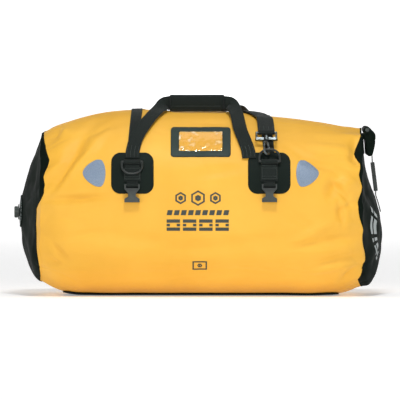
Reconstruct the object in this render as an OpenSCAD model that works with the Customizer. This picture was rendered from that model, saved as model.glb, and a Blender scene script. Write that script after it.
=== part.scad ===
// Waterproof duffel bag: welded tarpaulin tube with domed ends, a rolled end
// closure, two carry handles, a shoulder strap on snap hooks and an air valve.
// X runs along the bag, -Y is the front face and +Z is up. The bag rests on Z = 0.

/* [Bag] */
// Thickness of the welded fabric walls
wall = 2.5; // [2:0.5:3]
// Roundness of the upper half of the section
round_top = 2.2; // [2:0.1:2.4]
// Roundness of the lower half of the section, flatter where it rests
round_low = 2.8; // [2.6:0.1:3.2]
// How far the left end bulges past its seam
left_bulge = 38; // [34:1:40]
// How far the right end bulges past its seam
right_bulge = 38; // [36:1:40]

/* [Webbing] */
// Width of the carry handle webbing
handle_w = 25; // [23:1:26]
// Width of the light webbing on the buckles and over the top
light_w = 20; // [18:1:20]
// Width of the shoulder strap
shoulder_w = 30; // [28:1:30]
// Thickness of the webbing
web_t = 1.6; // [1.2:0.1:1.8]

/* [Patches] */
// Width of an anchor patch
patch_w = 76; // [70:1:80]
// Distance of each anchor patch from the middle of the bag
patch_x = 122; // [120:1:124]
// Height of the window frame's wide border
frame_border = 15; // [12:1:16]

/* [Hardware] */
// Diameter of the ring wire
ring_wire = 4; // [3.5:0.1:4.2]
// Width across the middle of the ring wire
ring_w = 36; // [35:1:37]
// Height of a ring, to the middle of the wire
ring_h = 22; // [20:1:23]
// Width of a hanging buckle
buckle_w = 27; // [26:0.5:28]
// Length of a hanging buckle
buckle_l = 32; // [30:1:33]
// Radius of the valve cap
cap_r = 9.5; // [9:0.5:11]

/* [Hidden] */

black = "#26332a";
yellow = "#f2b93b";
silver = "#a9b6c4";

// Stations along the bag: position, underside, crest and half depth.
STATIONS = [[-288, 24, 292, 125], [-265, 12, 305, 140], [-235, 4, 316, 152], [-190, 2, 328, 163],
    [-120, 2, 335, 170], [-40, 2, 333, 172], [60, 2, 331, 172], [140, 2, 322, 170],
    [220, 2, 312, 161], [262, 6, 304, 150], [290, 18, 301, 132]];
x_left = STATIONS[0][0];
x_right = STATIONS[len(STATIONS) - 1][0];
column = function (k) [for (s = STATIONS) [s[0], s[k]]];
low_at = function (x) lookup(x, column(1));
top_at = function (x) lookup(x, column(2));
deep_at = function (x) lookup(x, column(3));
mid_at = function (x) (low_at(x) + top_at(x)) / 2;
tall_at = function (x) (top_at(x) - low_at(x)) / 2;
power = function (v, p) sign(v) * pow(abs(v), p);
unit = function (v) v / norm(v);
turns = 40;
standoff = 0.5;

// How fast a measure changes along the bag.
function slope(measure, x) = (measure(min(x + 8, x_right)) - measure(max(x - 8, x_left)))
    / (min(x + 8, x_right) - max(x - 8, x_left));
// Outward direction of the surface at a point of the section at x.
function section_normal(x, y, z) = let (n = z > mid_at(x) ? round_top : round_low,
        w = (z - mid_at(x)) / tall_at(x), v = y / deep_at(x),
        lead = -pow(abs(v), n) * slope(deep_at, x) / deep_at(x)
            - pow(abs(w), n) * slope(tall_at, x) / tall_at(x)
            - power(w, n - 1) * slope(mid_at, x) / tall_at(x))
    unit([lead, power(v, n - 1) / deep_at(x), power(w, n - 1) / tall_at(x)]);
// Point of the section at x, by angle: 0 is the front, 90 the crest, 180 the rear.
function skin(x, a, off = 0) = let (n = sin(a) > 0 ? round_top : round_low,
        y = -deep_at(x) * power(cos(a), 2 / n), z = mid_at(x) + tall_at(x) * power(sin(a), 2 / n))
    [x, y, z] + off * section_normal(x, y, z);
// Point of the side at x and height z. side is -1 on the front and 1 on the rear.
function face_point(x, z, off = 0, side = -1) = let (n = z > mid_at(x) ? round_top : round_low,
        w = (z - mid_at(x)) / tall_at(x), y = side * deep_at(x) * pow(max(0.001, 1 - pow(abs(w), n)), 1 / n))
    [x, y, z] + off * section_normal(x, y, z);
// Closed mesh between two equal grids of points, rows of n columns each.
module slab(outer, inner) {
    m = len(outer);
    n = len(outer[0]);
    id = function (k, j, i) k * m * n + j * n + i;
    border = concat([for (i = [0:n - 2]) [0, i]], [for (j = [0:m - 2]) [j, n - 1]],
        [for (i = [n - 1:-1:1]) [m - 1, i]], [for (j = [m - 1:-1:1]) [j, 0]]);
    quad = function (a, b, c, d) [[a, b, c], [a, c, d]];
    faces = concat(
        [for (j = [0:m - 2], i = [0:n - 2])
            each quad(id(0, j, i), id(0, j, i + 1), id(0, j + 1, i + 1), id(0, j + 1, i))],
        [for (j = [0:m - 2], i = [0:n - 2])
            each quad(id(1, j, i), id(1, j + 1, i), id(1, j + 1, i + 1), id(1, j, i + 1))],
        [for (e = [0:len(border) - 1]) let (p = border[e], q = border[(e + 1) % len(border)])
            each quad(id(0, p[0], p[1]), id(1, p[0], p[1]), id(1, q[0], q[1]), id(0, q[0], q[1]))]);
    polyhedron(concat([for (r = outer) each r], [for (r = inner) each r]), faces);
}
// Sheet on the side of the bag between two heights, with a left and a right edge given by height.
module side_sheet(z0, z1, left, right, side, t0, t1, rows = 14, cols = 14) {
    grid = function (off) [for (j = [0:rows]) let (z = z0 + (z1 - z0) * j / rows)
        [for (i = [0:cols]) face_point(left(z) + (right(z) - left(z)) * i / cols, z, off, side)]];
    slab(side < 0 ? grid(t0) : grid(t1), side < 0 ? grid(t1) : grid(t0));
}
// Flat strip along a list of [point, direction across, direction of its face], width w, thickness t.
module strip(path, w, t) {
    row = function (p, s) [p[0] - p[1] * w / 2 + p[2] * s, p[0] + p[1] * w / 2 + p[2] * s];
    slab([for (p = path) row(p, 0)], [for (p = path) row(p, t)]);
}
// Smooth point between four neighbours, u from 0 to 1 between the middle two.
function between(a, b, c, d, u) = 0.5 * (2 * b + (c - a) * u + (2 * a - 5 * b + 4 * c - d) * u * u
    + (3 * b - a - 3 * c + d) * u * u * u);
function smooth(list, steps) = let (n = len(list), at = function (i) list[min(max(i, 0), n - 1)])
    concat([for (i = [0:n - 2], k = [0:steps - 1])
        between(at(i - 1), at(i), at(i + 1), at(i + 2), k / steps)],
        [list[n - 1]]);
// Strip path from knots of [x, y, z, nx, ny, nz], where n is the way the webbing faces.
function web_path(knots, steps) = let (s = smooth(knots, steps), n = len(s),
        p = function (i) [s[i][0], s[i][1], s[i][2]])
    [for (i = [0:n - 1]) let (along = unit(p(min(i + 1, n - 1)) - p(max(i - 1, 0))),
            want = [s[i][3], s[i][4], s[i][5]], face = unit(want - (want * along) * along))
        [p(i), cross(along, face), face]];
// Knot lying on the side of the bag, and one lying on the section at an angle.
function on_face(x, z, off, side) = let (p = face_point(x, z, 0, side), n = section_normal(x, p[1], p[2]))
    concat(p + off * n, n);
function on_skin(x, a, off) = let (p = skin(x, a), n = section_normal(x, p[1], p[2])) concat(p + off * n, n);
// Closed shell between two stacks of rings. A cap closes its far end with a middle point.
module ring_shell(outer, inner, cap = []) {
    m = len(outer);
    n = len(outer[0]);
    id = function (k, j, i) k * m * n + j * n + i % n;
    quad = function (a, b, c, d) [[a, b, c], [a, c, d]];
    tip = 2 * m * n;
    sides = concat(
        [for (j = [0:m - 2], i = [0:n - 1])
            each quad(id(0, j, i), id(0, j, i + 1), id(0, j + 1, i + 1), id(0, j + 1, i))],
        [for (j = [0:m - 2], i = [0:n - 1])
            each quad(id(1, j, i), id(1, j + 1, i), id(1, j + 1, i + 1), id(1, j, i + 1))],
        [for (i = [0:n - 1]) each quad(id(0, 0, i + 1), id(0, 0, i), id(1, 0, i), id(1, 0, i + 1))]);
    last = function (k, i) id(k, m - 1, i);
    end = len(cap) == 0
        ? [for (i = [0:n - 1]) each quad(last(0, i), last(0, i + 1), last(1, i + 1), last(1, i))]
        : [for (i = [0:n - 1])
            each [[last(0, i), last(0, i + 1), tip], [last(1, i + 1), last(1, i), tip + 1]]];
    polyhedron(concat([for (r = outer) each r], [for (r = inner) each r], cap), concat(sides, end));
}

// Bag body -------------------------------------------------------------
tube_rings = 16;
angles = [for (k = [0:turns - 1]) 360 * k / turns];
module body_tube() {
    xs = [for (k = [0:tube_rings]) x_left + (x_right - x_left) * k / tube_rings];
    color(yellow) ring_shell([for (x = xs) [for (a = angles) skin(x, a)]],
        [for (x = xs) [for (a = angles) skin(x, a, -wall)]]);
}

// End panels: the section shrinks towards a middle point while it bulges outwards.
// Each end is a seam position, a direction, a bulge, two shape powers and the height of its middle.
DOME_STEPS = [1, 0.96, 0.88, 0.76, 0.6, 0.42, 0.24, 0.07];
valve_z = 150;
LEFT_END = [x_left, -1, left_bulge, 1.08, 0.5, valve_z];
RIGHT_END = [x_right, 1, right_bulge, 1.65, 1.3, 110];
rim_taper = 8;
half_span = 130;
function dome_point(end, r, a, inset = 0) = let (rim = skin(end[0], a), k = r * (1 - inset / half_span))
    [end[0] + end[1] * (end[2] * pow(1 - r * r, end[3] + end[4] * sin(a)) - inset * (1 - pow(r, rim_taper))),
        rim[1] * k, end[5] + (rim[2] - end[5]) * k];
module end_panel_left() {
    rings = function (inset) [for (r = DOME_STEPS) [for (a = angles) dome_point(LEFT_END, r, -a, inset)]];
    color(black) ring_shell(rings(0), rings(wall));
}
mouth_low = 258;
mouth_high = 284;
mouth_half = 50;
module mouth_outline(grow) {
    corner = 8;
    hull() for (y = [-1, 1], z = [mouth_low + corner, mouth_high - corner])
        translate([y * (mouth_half - corner), z]) circle(r = corner + grow, $fn = 24);
}
module mouth_block(x0, length, grow)
    translate([x0, 0, 0]) rotate([90, 0, 90]) linear_extrude(length) mouth_outline(grow);
module end_panel_right() {
    rings = function (inset) [for (r = DOME_STEPS) [for (a = angles) dome_point(RIGHT_END, r, a, inset)]];
    tip = [RIGHT_END[0] + right_bulge, 0, RIGHT_END[5]];
    color(black) difference() {
        ring_shell(rings(0), rings(wall), [tip, tip - [wall, 0, 0]]);
        mouth_block(250, 100, 0);
    }
}
module mouth_binding() color(black) difference() {
    mouth_block(268, 21.5, -0.3);
    mouth_block(260, 60, -2.3);
}
module base_patch() color(black) hull() for (x = [-230, 230], y = [-45, 45])
    translate([x, y, 0]) cylinder(r = 20, h = 1.9, $fn = 48);

// Anchor patches and webbing tabs ---------------------------------------
patch_low = 186;
patch_high = 259;
patch_t = 1.5;
patch_top_off = standoff + patch_t;
function patch_edge(z) = let (r = 15, reach = max(0, abs(z - (patch_low + patch_high) / 2)
        - (patch_high - patch_low) / 2 + r) / r)
    patch_w / 2 - 17 * (1 - sqrt(max(0, 1 - reach * reach)));
module patch(x, side) color(black) side_sheet(patch_low, patch_high, function (z) x - patch_edge(z),
    function (z) x + patch_edge(z), side, standoff, patch_top_off, 14, 7);

ring_bar_z = 240;
ring_off = 8.3;
loop_t = 1.6;
tab_low = 208;
tab_half = 15;
tab_off = patch_top_off + 0.3;
// Fabric loop round a bar along X.
module bar_loop(centre, inner_r, half, t = loop_t) translate(centre) rotate([0, 90, 0]) difference() {
    cylinder(r = inner_r + t, h = 2 * half, center = true, $fn = 32);
    cylinder(r = inner_r, h = 2 * half + 2, center = true, $fn = 32);
}
module ring_tab(x, side) color(black) {
    bar_loop(face_point(x, ring_bar_z, ring_off, side), ring_wire / 2 + 0.3, tab_half);
    side_sheet(tab_low, ring_bar_z + 1, function (z) x - tab_half, function (z) x + tab_half,
        side, tab_off, tab_off + 2.7, 6, 4);
}
buckle_bar_z = 200;
buckle_off = 7.6;
buckle_bar_r = 1.6;
module buckle_tab(x, side) color(black) {
    bar_loop(face_point(x, buckle_bar_z, buckle_off, side), buckle_bar_r + 0.3, light_w / 2, 1.4);
    side_sheet(buckle_bar_z - 2, tab_low - 0.5, function (z) x - light_w / 2, function (z) x + light_w / 2,
        side, tab_off, tab_off + 1.7, 3, 4);
}

// D-ring in its own plane: the bar along X at the origin, the bow reaching down to -ring_h.
bow_r = 15;
module d_ring() {
    r = ring_wire / 2;
    side_x = ring_w / 2;
    rotate([0, 90, 0]) cylinder(r = r, h = ring_w, center = true, $fn = 24);
    for (s = [-1, 1]) {
        translate([s * side_x, 0, 0]) sphere(r = r, $fn = 24);
        translate([s * side_x, 0, -(ring_h - bow_r)]) cylinder(r = r, h = ring_h - bow_r, $fn = 24);
        translate([s * (side_x - bow_r), 0, -(ring_h - bow_r)])
            rotate([90, 0, 0]) rotate([0, 0, s > 0 ? 270 : 180])
            rotate_extrude(angle = 90, $fn = 48) translate([bow_r, 0]) circle(r = r, $fn = 24);
    }
    translate([0, 0, -ring_h]) rotate([0, 90, 0])
        cylinder(r = r, h = ring_w - 2 * bow_r, center = true, $fn = 24);
}
// Turn about X that lays a hanging piece of a given length along the side of the bag.
function hang_tilt(x, z, length, side) =
    let (a = face_point(x, z, 0, side), b = face_point(x, z - length, 0, side))
    side * atan2(abs(b[1] - a[1]), a[2] - b[2]);
raised_lean = 15;
module ring_hanging(x, side) color(black) translate(face_point(x, ring_bar_z, ring_off, side))
    rotate([hang_tilt(x, ring_bar_z, ring_h, side), 0, 0]) d_ring();
module ring_raised(x, side) color(black) translate(face_point(x, ring_bar_z, ring_off, side))
    rotate([180 + side * raised_lean, 0, 0]) d_ring();

// Socket half of a side release buckle, hanging from its bar at the origin.
module buckle() {
    half = buckle_w / 2;
    waist = 7;
    shoulder = 4;
    thick = 7.5;
    difference() {
        rotate([90, 0, 0]) linear_extrude(thick, center = true) polygon([[-half, -shoulder + 3],
            [-half, -6], [-waist, -14], [-waist, -20], [-half, -24], [-half, -buckle_l + 2],
            [half, -buckle_l + 2], [half, -24], [waist, -20], [waist, -14], [half, -6], [half, -shoulder + 3],
            [half, 2], [half - 2.5, 2], [half - 2.5, -5], [-half + 2.5, -5], [-half + 2.5, 2], [-half, 2]]);
        translate([0, 0, -buckle_l]) cube([21, 4.6, 16], center = true);
        translate([0, 0, -buckle_l + 8]) cube([9, 4.6, 12], center = true);
    }
    rotate([0, 90, 0]) cylinder(r = buckle_bar_r, h = buckle_w - 2, center = true, $fn = 24);
}
module hanging_buckle(x, side) color(black) translate(face_point(x, buckle_bar_z, buckle_off, side))
    rotate([hang_tilt(x, buckle_bar_z, buckle_l, side), 0, 0]) buckle();

// Straps over the top, their ends welded under the patches ----------------
module over_strap(x) {
    lowest = patch_high + 1.5;
    start = asin(pow((lowest - mid_at(x)) / tall_at(x), round_top / 2));
    steps = 20;
    lean_in = 7;
    line = function (a) x - sign(x) * lean_in * (1 - pow(abs(a - 90) / (90 - start), 2));
    knots = [for (k = [0:steps]) let (a = start + (180 - 2 * start) * k / steps) on_skin(line(a), a, 0.7)];
    color(black) strip(web_path(knots, 1), light_w, web_t - 0.2);
}

// Reflectors, window and prints -------------------------------------------
refl_low = 199;
refl_high = 246;
module reflector(x, out, side) {
    mid = (refl_low + refl_high) / 2;
    half = (refl_high - refl_low) / 2;
    v = function (z) min(0.999, abs(z - mid) / half);
    flat_edge = function (z) x - out * (9.8 + 10.2 * sqrt(1 - v(z) * v(z)));
    point_edge = function (z) x + out * (-6.2 + 27 * pow(1 - pow(v(z), 1.7), 0.75));
    color(silver) side_sheet(refl_low, refl_high, out > 0 ? flat_edge : point_edge,
        out > 0 ? point_edge : flat_edge, side, standoff, standoff + 1.2, 14, 5);
}
window_x = 0;
module window_sheet(half, z0, z1, t0, t1, rows = 10, cols = 6)
    side_sheet(z0, z1, function (z) window_x - half, function (z) window_x + half, -1, t0, t1, rows, cols);
module window_frame() color(black) difference() {
    window_sheet(53.5, 251, 304, standoff, standoff + 1.6);
    window_sheet(53.5 - frame_border, 262, 295, -3, 6, 6, 4);
}
module window_film() color("khaki")
    window_sheet(53 - frame_border, 262.5, 294.5, standoff, standoff + 0.8, 6, 4);
// Two rows of plain bars, printed in a raised ink.
print_t = 0.6;
module front_print() color(black) {
    for (k = [-1, 0, 1]) side_sheet(168, 192, function (z) window_x + 30 * k - 12,
        function (z) window_x + 30 * k + 12, -1, standoff, standoff + print_t, 3, 3);
    for (row = [[148, 158], [120, 141]]) side_sheet(row[0], row[1], function (z) window_x - 56,
        function (z) window_x + 52, -1, standoff, standoff + print_t, 3, 8);
}
module capacity_badge() color(black) side_sheet(47, 66, function (z) -13, function (z) 14, -1,
    standoff, standoff + print_t, 4, 4);
// Plain bars printed down the front of the right end.
module end_print() color(silver) for (top = [10, -14, -38]) {
    rings = function (off) [for (r = [0.62, 0.54, 0.46, 0.38]) [for (a = [top:-6:top - 18])
        dome_point(RIGHT_END, r, a) + [off, 0, 0]]];
    slab(rings(0.5), rings(1.1));
}

// Air valve in the middle of the left end ---------------------------------
valve_x = x_left - left_bulge;
stem_r = 7.5;
module valve_patch() {
    rings = function (off) [for (r = [0.22, 0.18, 0.14, 0.1]) [for (a = angles)
        dome_point(LEFT_END, r, -a) - [off, 0, 0]]];
    color(black) ring_shell(rings(2), rings(0.5));
}
module disc(x0, x1, r) translate([x1, 0, valve_z]) rotate([0, 90, 0]) cylinder(r = r, h = x0 - x1, $fn = 64);
module valve_base() color(black) difference() {
    union() {
        disc(valve_x - 2.2, valve_x - 4, 14);
        disc(valve_x + 9, valve_x - 3, stem_r);
        disc(valve_x - 3, valve_x - 8, 6);
    }
    disc(valve_x + 10, valve_x - 9, 3.5);
}
module valve_nut() color(black) difference() {
    translate([valve_x + 3.8, 0, valve_z]) rotate([0, 90, 0]) cylinder(r = 14, h = 4, $fn = 6);
    disc(valve_x + 10, valve_x - 1, stem_r + 0.3);
}
module valve_cap() color(black) difference() {
    union() {
        disc(valve_x - 4.3, valve_x - 11, cap_r);
        for (a = [0:30:330]) translate([0, 0, valve_z]) rotate([a, 0, 0])
            translate([valve_x - 10.5, 0, cap_r])
            rotate([0, 90, 0]) cylinder(r = 0.9, h = 5.5, $fn = 12);
    }
    disc(valve_x - 4, valve_x - 8.6, 6.4);
}

// Carry handles -------------------------------------------------------------
hinge_z = 248;
foot_off = 2.8;
grip_y = -30;
grip_z = 347;
grip_left = -56;
grip_right = 42;
grip_thick = 12;
grip_tall = 30;
rear_gap = 7.5;
FRONT_LEG_LEFT = [on_face(-patch_x, hinge_z, foot_off, -1), on_face(-patch_x + 1, 262, 3, -1),
    on_face(-114, 284, 4, -1), on_face(-99, 306, 5.5, -1), on_face(-84, 322, 7, -1),
    [-74, -51, 337, 0, -0.75, 0.66], [-66, -35, 345, 0, -1, 0.1]];
FRONT_LEG_RIGHT = [[54, -35, 345, 0, -1, 0.1], [61, -56, 335, 0, -0.75, 0.66], on_face(65, 317, 6, -1),
    on_face(70, 297, 5, -1), on_face(77, 280, 4, -1), on_face(84, 262, 3, -1),
    on_face(86, hinge_z, foot_off, -1)];
REAR_LEG_LEFT = [on_face(-86, hinge_z, foot_off, 1), on_face(-84, 262, 3, 1), on_face(-79, 282, 4.5, 1),
    on_face(-76, 302, 6.6, 1), on_face(-75, 320, 7, 1), [-72, 34, 339, 0, 0.25, 0.97],
    [-67, 8, 341, 0, 0.25, 0.97], [-60, -14, 345, 0, 0.8, 0.6]];
REAR_LEG_RIGHT = [[47, -14, 345, 0, 0.8, 0.6], [57, 8, 341, 0, 0.25, 0.97], [68, 34, 338, 0, 0.25, 0.97],
    on_face(82, 317, 6, 1), on_face(98, 299, 5, 1), on_face(112, 278, 4, 1), on_face(121, 261, 3, 1),
    on_face(patch_x, hinge_z, foot_off, 1)];
function straight(y, face) = [for (x = [grip_left - 1, grip_left + 10, 0, grip_right - 10, grip_right + 1])
    [x, y, grip_z, 0, face, 0]];
// Rolled end of the webbing at a foot, on the line that the handle turns about.
function foot_at(knot) = [knot[0], knot[1], knot[2]] + [knot[3], knot[4], knot[5]] * web_t / 2;
module foot_rolls(a, b) for (p = [a, b]) translate(p)
    rotate([0, 90, atan2(b[1] - a[1], b[0] - a[0])])
        cylinder(r = web_t / 2, h = handle_w - 1, center = true, $fn = 24);
module handle_webbing(left, middle, right) color(black) {
    strip(web_path(concat(left, middle, right), 4), handle_w, web_t);
    foot_rolls(foot_at(left[0]), foot_at(right[len(right) - 1]));
}
module front_handle_strap() handle_webbing(FRONT_LEG_LEFT, straight(grip_y, -1), FRONT_LEG_RIGHT);
module rear_handle_strap() handle_webbing(REAR_LEG_LEFT, straight(grip_y + rear_gap, 1), REAR_LEG_RIGHT);
module grip_wrap() color(black) translate([grip_left, grip_y - web_t / 2, grip_z]) rotate([90, 0, 90])
    linear_extrude(grip_right - grip_left) difference() {
        hull() for (s = [-1, 1]) translate([0, s * (grip_tall - grip_thick) / 2])
            circle(d = grip_thick, $fn = 40);
        square([web_t + 2.2, handle_w + 2], center = true);
    }

// Snap hooks and shoulder strap ---------------------------------------------
hook_x = 117;
hook_lean = 34;
hook_turn = 55;
loop_r = 7;
loop_low = -3;
loop_high = 9;
eye_low = 22;
eye_high = 36;
eye_half = 17.5;
wire = 2;
// Middle of the bow of a raised ring.
function bow_at(side) = face_point(-side * patch_x, ring_bar_z, ring_off, side)
    + ring_h * [0, -side * sin(raised_lean), cos(raised_lean)];
// Frame of a snap hook: origin on the ring's bow, Z along the hook towards its strap.
module hook_frame(side) translate([-side * hook_x, bow_at(side)[1], bow_at(side)[2]])
    rotate([0, 0, side < 0 ? 0 : 180]) rotate([-hook_lean, 0, 0]) children();
module wire_arc(z, start) translate([0, 0, z]) rotate([90, 0, 0]) rotate([0, 0, start])
    rotate_extrude(angle = 180, $fn = 64) translate([loop_r, 0]) circle(r = wire, $fn = 24);
gate_pivot = 7;
module hook(side) color(silver) hook_frame(side) rotate([0, 0, hook_turn]) {
    wire_arc(loop_low, 180);
    wire_arc(loop_high, 0);
    translate([loop_r, 0, loop_low]) cylinder(r = wire, h = loop_high - loop_low, $fn = 24);
    translate([-loop_r, 0, loop_low]) cylinder(r = wire, h = 2, $fn = 24);
    translate([0, 0, loop_high + loop_r]) cylinder(r = wire, h = 11, $fn = 24);
    translate([0, 0, 27.6]) sphere(r = 3.4, $fn = 32);
}
module gate(side) color(silver) hook_frame(side) rotate([0, 0, hook_turn]) translate([-loop_r, 0, 0]) {
    translate([0, 0, loop_low + 2.4]) cylinder(r = 1.7, h = gate_pivot - loop_low - 2.4, $fn = 24);
    translate([0, 0, gate_pivot]) sphere(r = 1.7, $fn = 24);
    translate([0, 0, gate_pivot]) rotate([90, 0, 0]) cylinder(r = 1.1, h = 4.6, center = true, $fn = 24);
}
module eye(side) color(silver) hook_frame(side) difference() {
    union() {
        translate([0, 0, eye_low]) cube([2 * eye_half, 5, 5], center = true);
        translate([0, 0, eye_low - 3.2]) cylinder(r = 5, h = 6.2, $fn = 40);
        for (s = [-1, 1]) {
            translate([s * eye_half, 0, eye_low - 2.5]) cylinder(r = wire + 0.5, h = 4, $fn = 24);
            translate([s * eye_half, 0, eye_low]) cylinder(r = wire, h = eye_high - eye_low, $fn = 24);
            translate([s * eye_half, 0, eye_high]) sphere(r = wire, $fn = 24);
        }
        translate([0, 0, eye_high]) rotate([0, 90, 0])
            cylinder(r = wire, h = 2 * eye_half, center = true, $fn = 24);
    }
    translate([0, 0, eye_low - 5]) cylinder(r = 2.5, h = 12, $fn = 32);
}
// Middle of the bar that carries the shoulder strap, and the knot where the webbing leaves it.
function strap_bar(side) = let (b = bow_at(side))
    [-side * hook_x, b[1] - side * eye_high * sin(hook_lean), b[2] + eye_high * cos(hook_lean)];
function strap_start(side) = let (n = unit([0, side * 0.27, 0.96]))
    concat(strap_bar(side) + (wire + 0.3) * n, n);
// Shoulder strap and the slider on it.
STRAP_KNOTS = concat([strap_start(-1), on_skin(114, 66, 7), on_skin(109, 74, 3.2)],
    [on_skin(99, 82, 2.8), on_skin(80, 90, 2.8), on_skin(50, 97, 2.8), on_skin(0, 105, 2.8),
    on_skin(-55, 112, 2.8), on_skin(-90, 114, 3.2), on_skin(-112, 115, 7), strap_start(1)]);
STRAP_PATH = web_path(STRAP_KNOTS, 7);
module shoulder_strap() color(black) {
    strip(STRAP_PATH, shoulder_w, web_t);
    for (side = [-1, 1]) bar_loop(strap_bar(side), wire + 0.3, shoulder_w / 2);
}
module strap_slider() {
    at = STRAP_PATH[41];
    mid = at[0] + at[2] * web_t / 2;
    along = cross(at[2], at[1]);
    color(black) multmatrix([for (k = [0:2]) [along[k], at[1][k], at[2][k], mid[k]]]) difference() {
        cube([20, shoulder_w + 7, 5], center = true);
        cube([30, shoulder_w + 1.6, web_t + 1.2], center = true);
        cube([5, shoulder_w + 1.6, 9], center = true);
    }
}

// Rolled closure at the top of the right end ---------------------------------
roll_half = 70;
batten_x = 299;
batten_z = 299;
batten_r = 3.5;
gap_half = 16;
module across_roll(x, z, r, h) translate([x, 0, z]) rotate([90, 0, 0])
    cylinder(r = r, h = h, center = true, $fn = 32);
module closure_batten() color(black) across_roll(batten_x, batten_z, batten_r, 2 * roll_half + 10);
module closure_roll() color(black) difference() {
    union() {
        hull() {
            across_roll(307, 288, 8, 2 * roll_half);
            across_roll(batten_x, batten_z, batten_r + 2.5, 2 * roll_half);
        }
        hull() {
            across_roll(307, 288, 8, 2 * roll_half);
            across_roll(304, 261, 5, 2 * roll_half);
        }
    }
    across_roll(batten_x, batten_z, batten_r + 0.3, 2 * roll_half + 20);
    cube([700, 2 * gap_half, 700], center = true);
}
// Release buckle below the roll. Its frame leans back a little, Z along the webbing.
clip_lean = 7;
clip_half = 13;
clip_thick = 7;
socket_l = 30;
plug_l = 52;
strap_t = 1.6;
module clip_frame() translate([316.3, 0, 188]) rotate([0, -clip_lean, 0]) children();
function clip_at(z) = [316.3 - z * sin(clip_lean), 0, 188 + z * cos(clip_lean)];
module bar_box(x, y, z0, z1) translate([-x / 2, -y / 2, z0]) cube([x, y, z1 - z0]);
module closure_socket() color(black) clip_frame() difference() {
    bar_box(clip_thick, 2 * clip_half, 0, socket_l);
    bar_box(4.2, 21, 8, socket_l + 1);
    bar_box(2.6, 21, -1, 6);
}
module closure_plug() color(black) clip_frame() difference() {
    union() {
        bar_box(clip_thick, 2 * clip_half, socket_l + 0.5, plug_l);
        for (s = [-1, 1]) translate([0, s * 7.5, 0]) bar_box(3.4, 4.5, 10, socket_l + 1);
        bar_box(3.4, 4, 14, socket_l + 1);
    }
    bar_box(2.6, 21, plug_l - 7, plug_l + 1);
}
module side_strip(points, w) {
    last = len(points) - 1;
    color(black) strip([for (i = [0:last])
        let (along = unit(points[min(i + 1, last)] - points[max(i - 1, 0)]))
        [points[i], [0, 1, 0], cross([0, 1, 0], along)]], w, strap_t);
}
module closure_strap_upper() color(black) {
    translate([batten_x, 0, batten_z]) rotate([0, 0, 90]) bar_loop([0, 0, 0], batten_r + 0.3, light_w / 2);
    side_strip([clip_at(plug_l - 5) - [0.8, 0, 0], clip_at(plug_l + 2) - [0.8, 0, 0], [308.2, 0, 255],
        [305.6, 0, 275], [batten_x + 4, 0, 290], [batten_x + 3.9, 0, batten_z]], light_w);
}
module closure_strap_lower() {
    down = [for (r = [0.21, 0.25, 0.29, 0.33, 0.37]) dome_point(RIGHT_END, r, 90) + [0.7, 0, 0]];
    side_strip(concat(down, [clip_at(0.5) - [0.8, 0, 0], clip_at(5) - [0.8, 0, 0]]), light_w);
}

// Pieces ----------------------------------------------------------------------
module patch_front_left() patch(-patch_x, -1);
module patch_front_right() patch(patch_x, -1);
module patch_rear_left() patch(-patch_x, 1);
module patch_rear_right() patch(patch_x, 1);
module ring_tab_front_left() ring_tab(-patch_x, -1);
module ring_tab_front_right() ring_tab(patch_x, -1);
module ring_tab_rear_left() ring_tab(-patch_x, 1);
module ring_tab_rear_right() ring_tab(patch_x, 1);
module buckle_tab_front_left() buckle_tab(-patch_x, -1);
module buckle_tab_front_right() buckle_tab(patch_x, -1);
module buckle_tab_rear_left() buckle_tab(-patch_x, 1);
module buckle_tab_rear_right() buckle_tab(patch_x, 1);
module ring_front_left() ring_hanging(-patch_x, -1);
module ring_front_right() ring_raised(patch_x, -1);
module ring_rear_left() ring_raised(-patch_x, 1);
module ring_rear_right() ring_hanging(patch_x, 1);
module buckle_front_left() hanging_buckle(-patch_x, -1);
module buckle_front_right() hanging_buckle(patch_x, -1);
module buckle_rear_left() hanging_buckle(-patch_x, 1);
module buckle_rear_right() hanging_buckle(patch_x, 1);
module over_strap_left() over_strap(-patch_x);
module over_strap_right() over_strap(patch_x);
module reflector_front_left() reflector(-190, -1, -1);
module reflector_front_right() reflector(190, 1, -1);
module reflector_rear_left() reflector(-190, -1, 1);
module reflector_rear_right() reflector(190, 1, 1);
module eye_front() eye(-1);
module hook_front() hook(-1);
module gate_front() gate(-1);
module eye_rear() eye(1);
module hook_rear() hook(1);
module gate_rear() gate(1);

body_tube();
end_panel_left();
end_panel_right();
base_patch();
mouth_binding();
patch_front_left();
patch_front_right();
patch_rear_left();
patch_rear_right();
ring_tab_front_left();
ring_tab_front_right();
ring_tab_rear_left();
ring_tab_rear_right();
buckle_tab_front_left();
buckle_tab_front_right();
buckle_tab_rear_left();
buckle_tab_rear_right();
ring_front_left();
ring_front_right();
ring_rear_left();
ring_rear_right();
buckle_front_left();
buckle_front_right();
buckle_rear_left();
buckle_rear_right();
over_strap_left();
over_strap_right();
reflector_front_left();
reflector_front_right();
reflector_rear_left();
reflector_rear_right();
window_frame();
window_film();
front_print();
capacity_badge();
end_print();
valve_patch();
valve_base();
valve_nut();
valve_cap();
front_handle_strap();
grip_wrap();
rear_handle_strap();
shoulder_strap();
strap_slider();
eye_front();
hook_front();
gate_front();
eye_rear();
hook_rear();
gate_rear();
closure_roll();
closure_batten();
closure_strap_upper();
closure_plug();
closure_socket();
closure_strap_lower();
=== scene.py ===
import math
import bmesh
import bpy
import numpy as np
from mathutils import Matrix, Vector, noise


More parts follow.
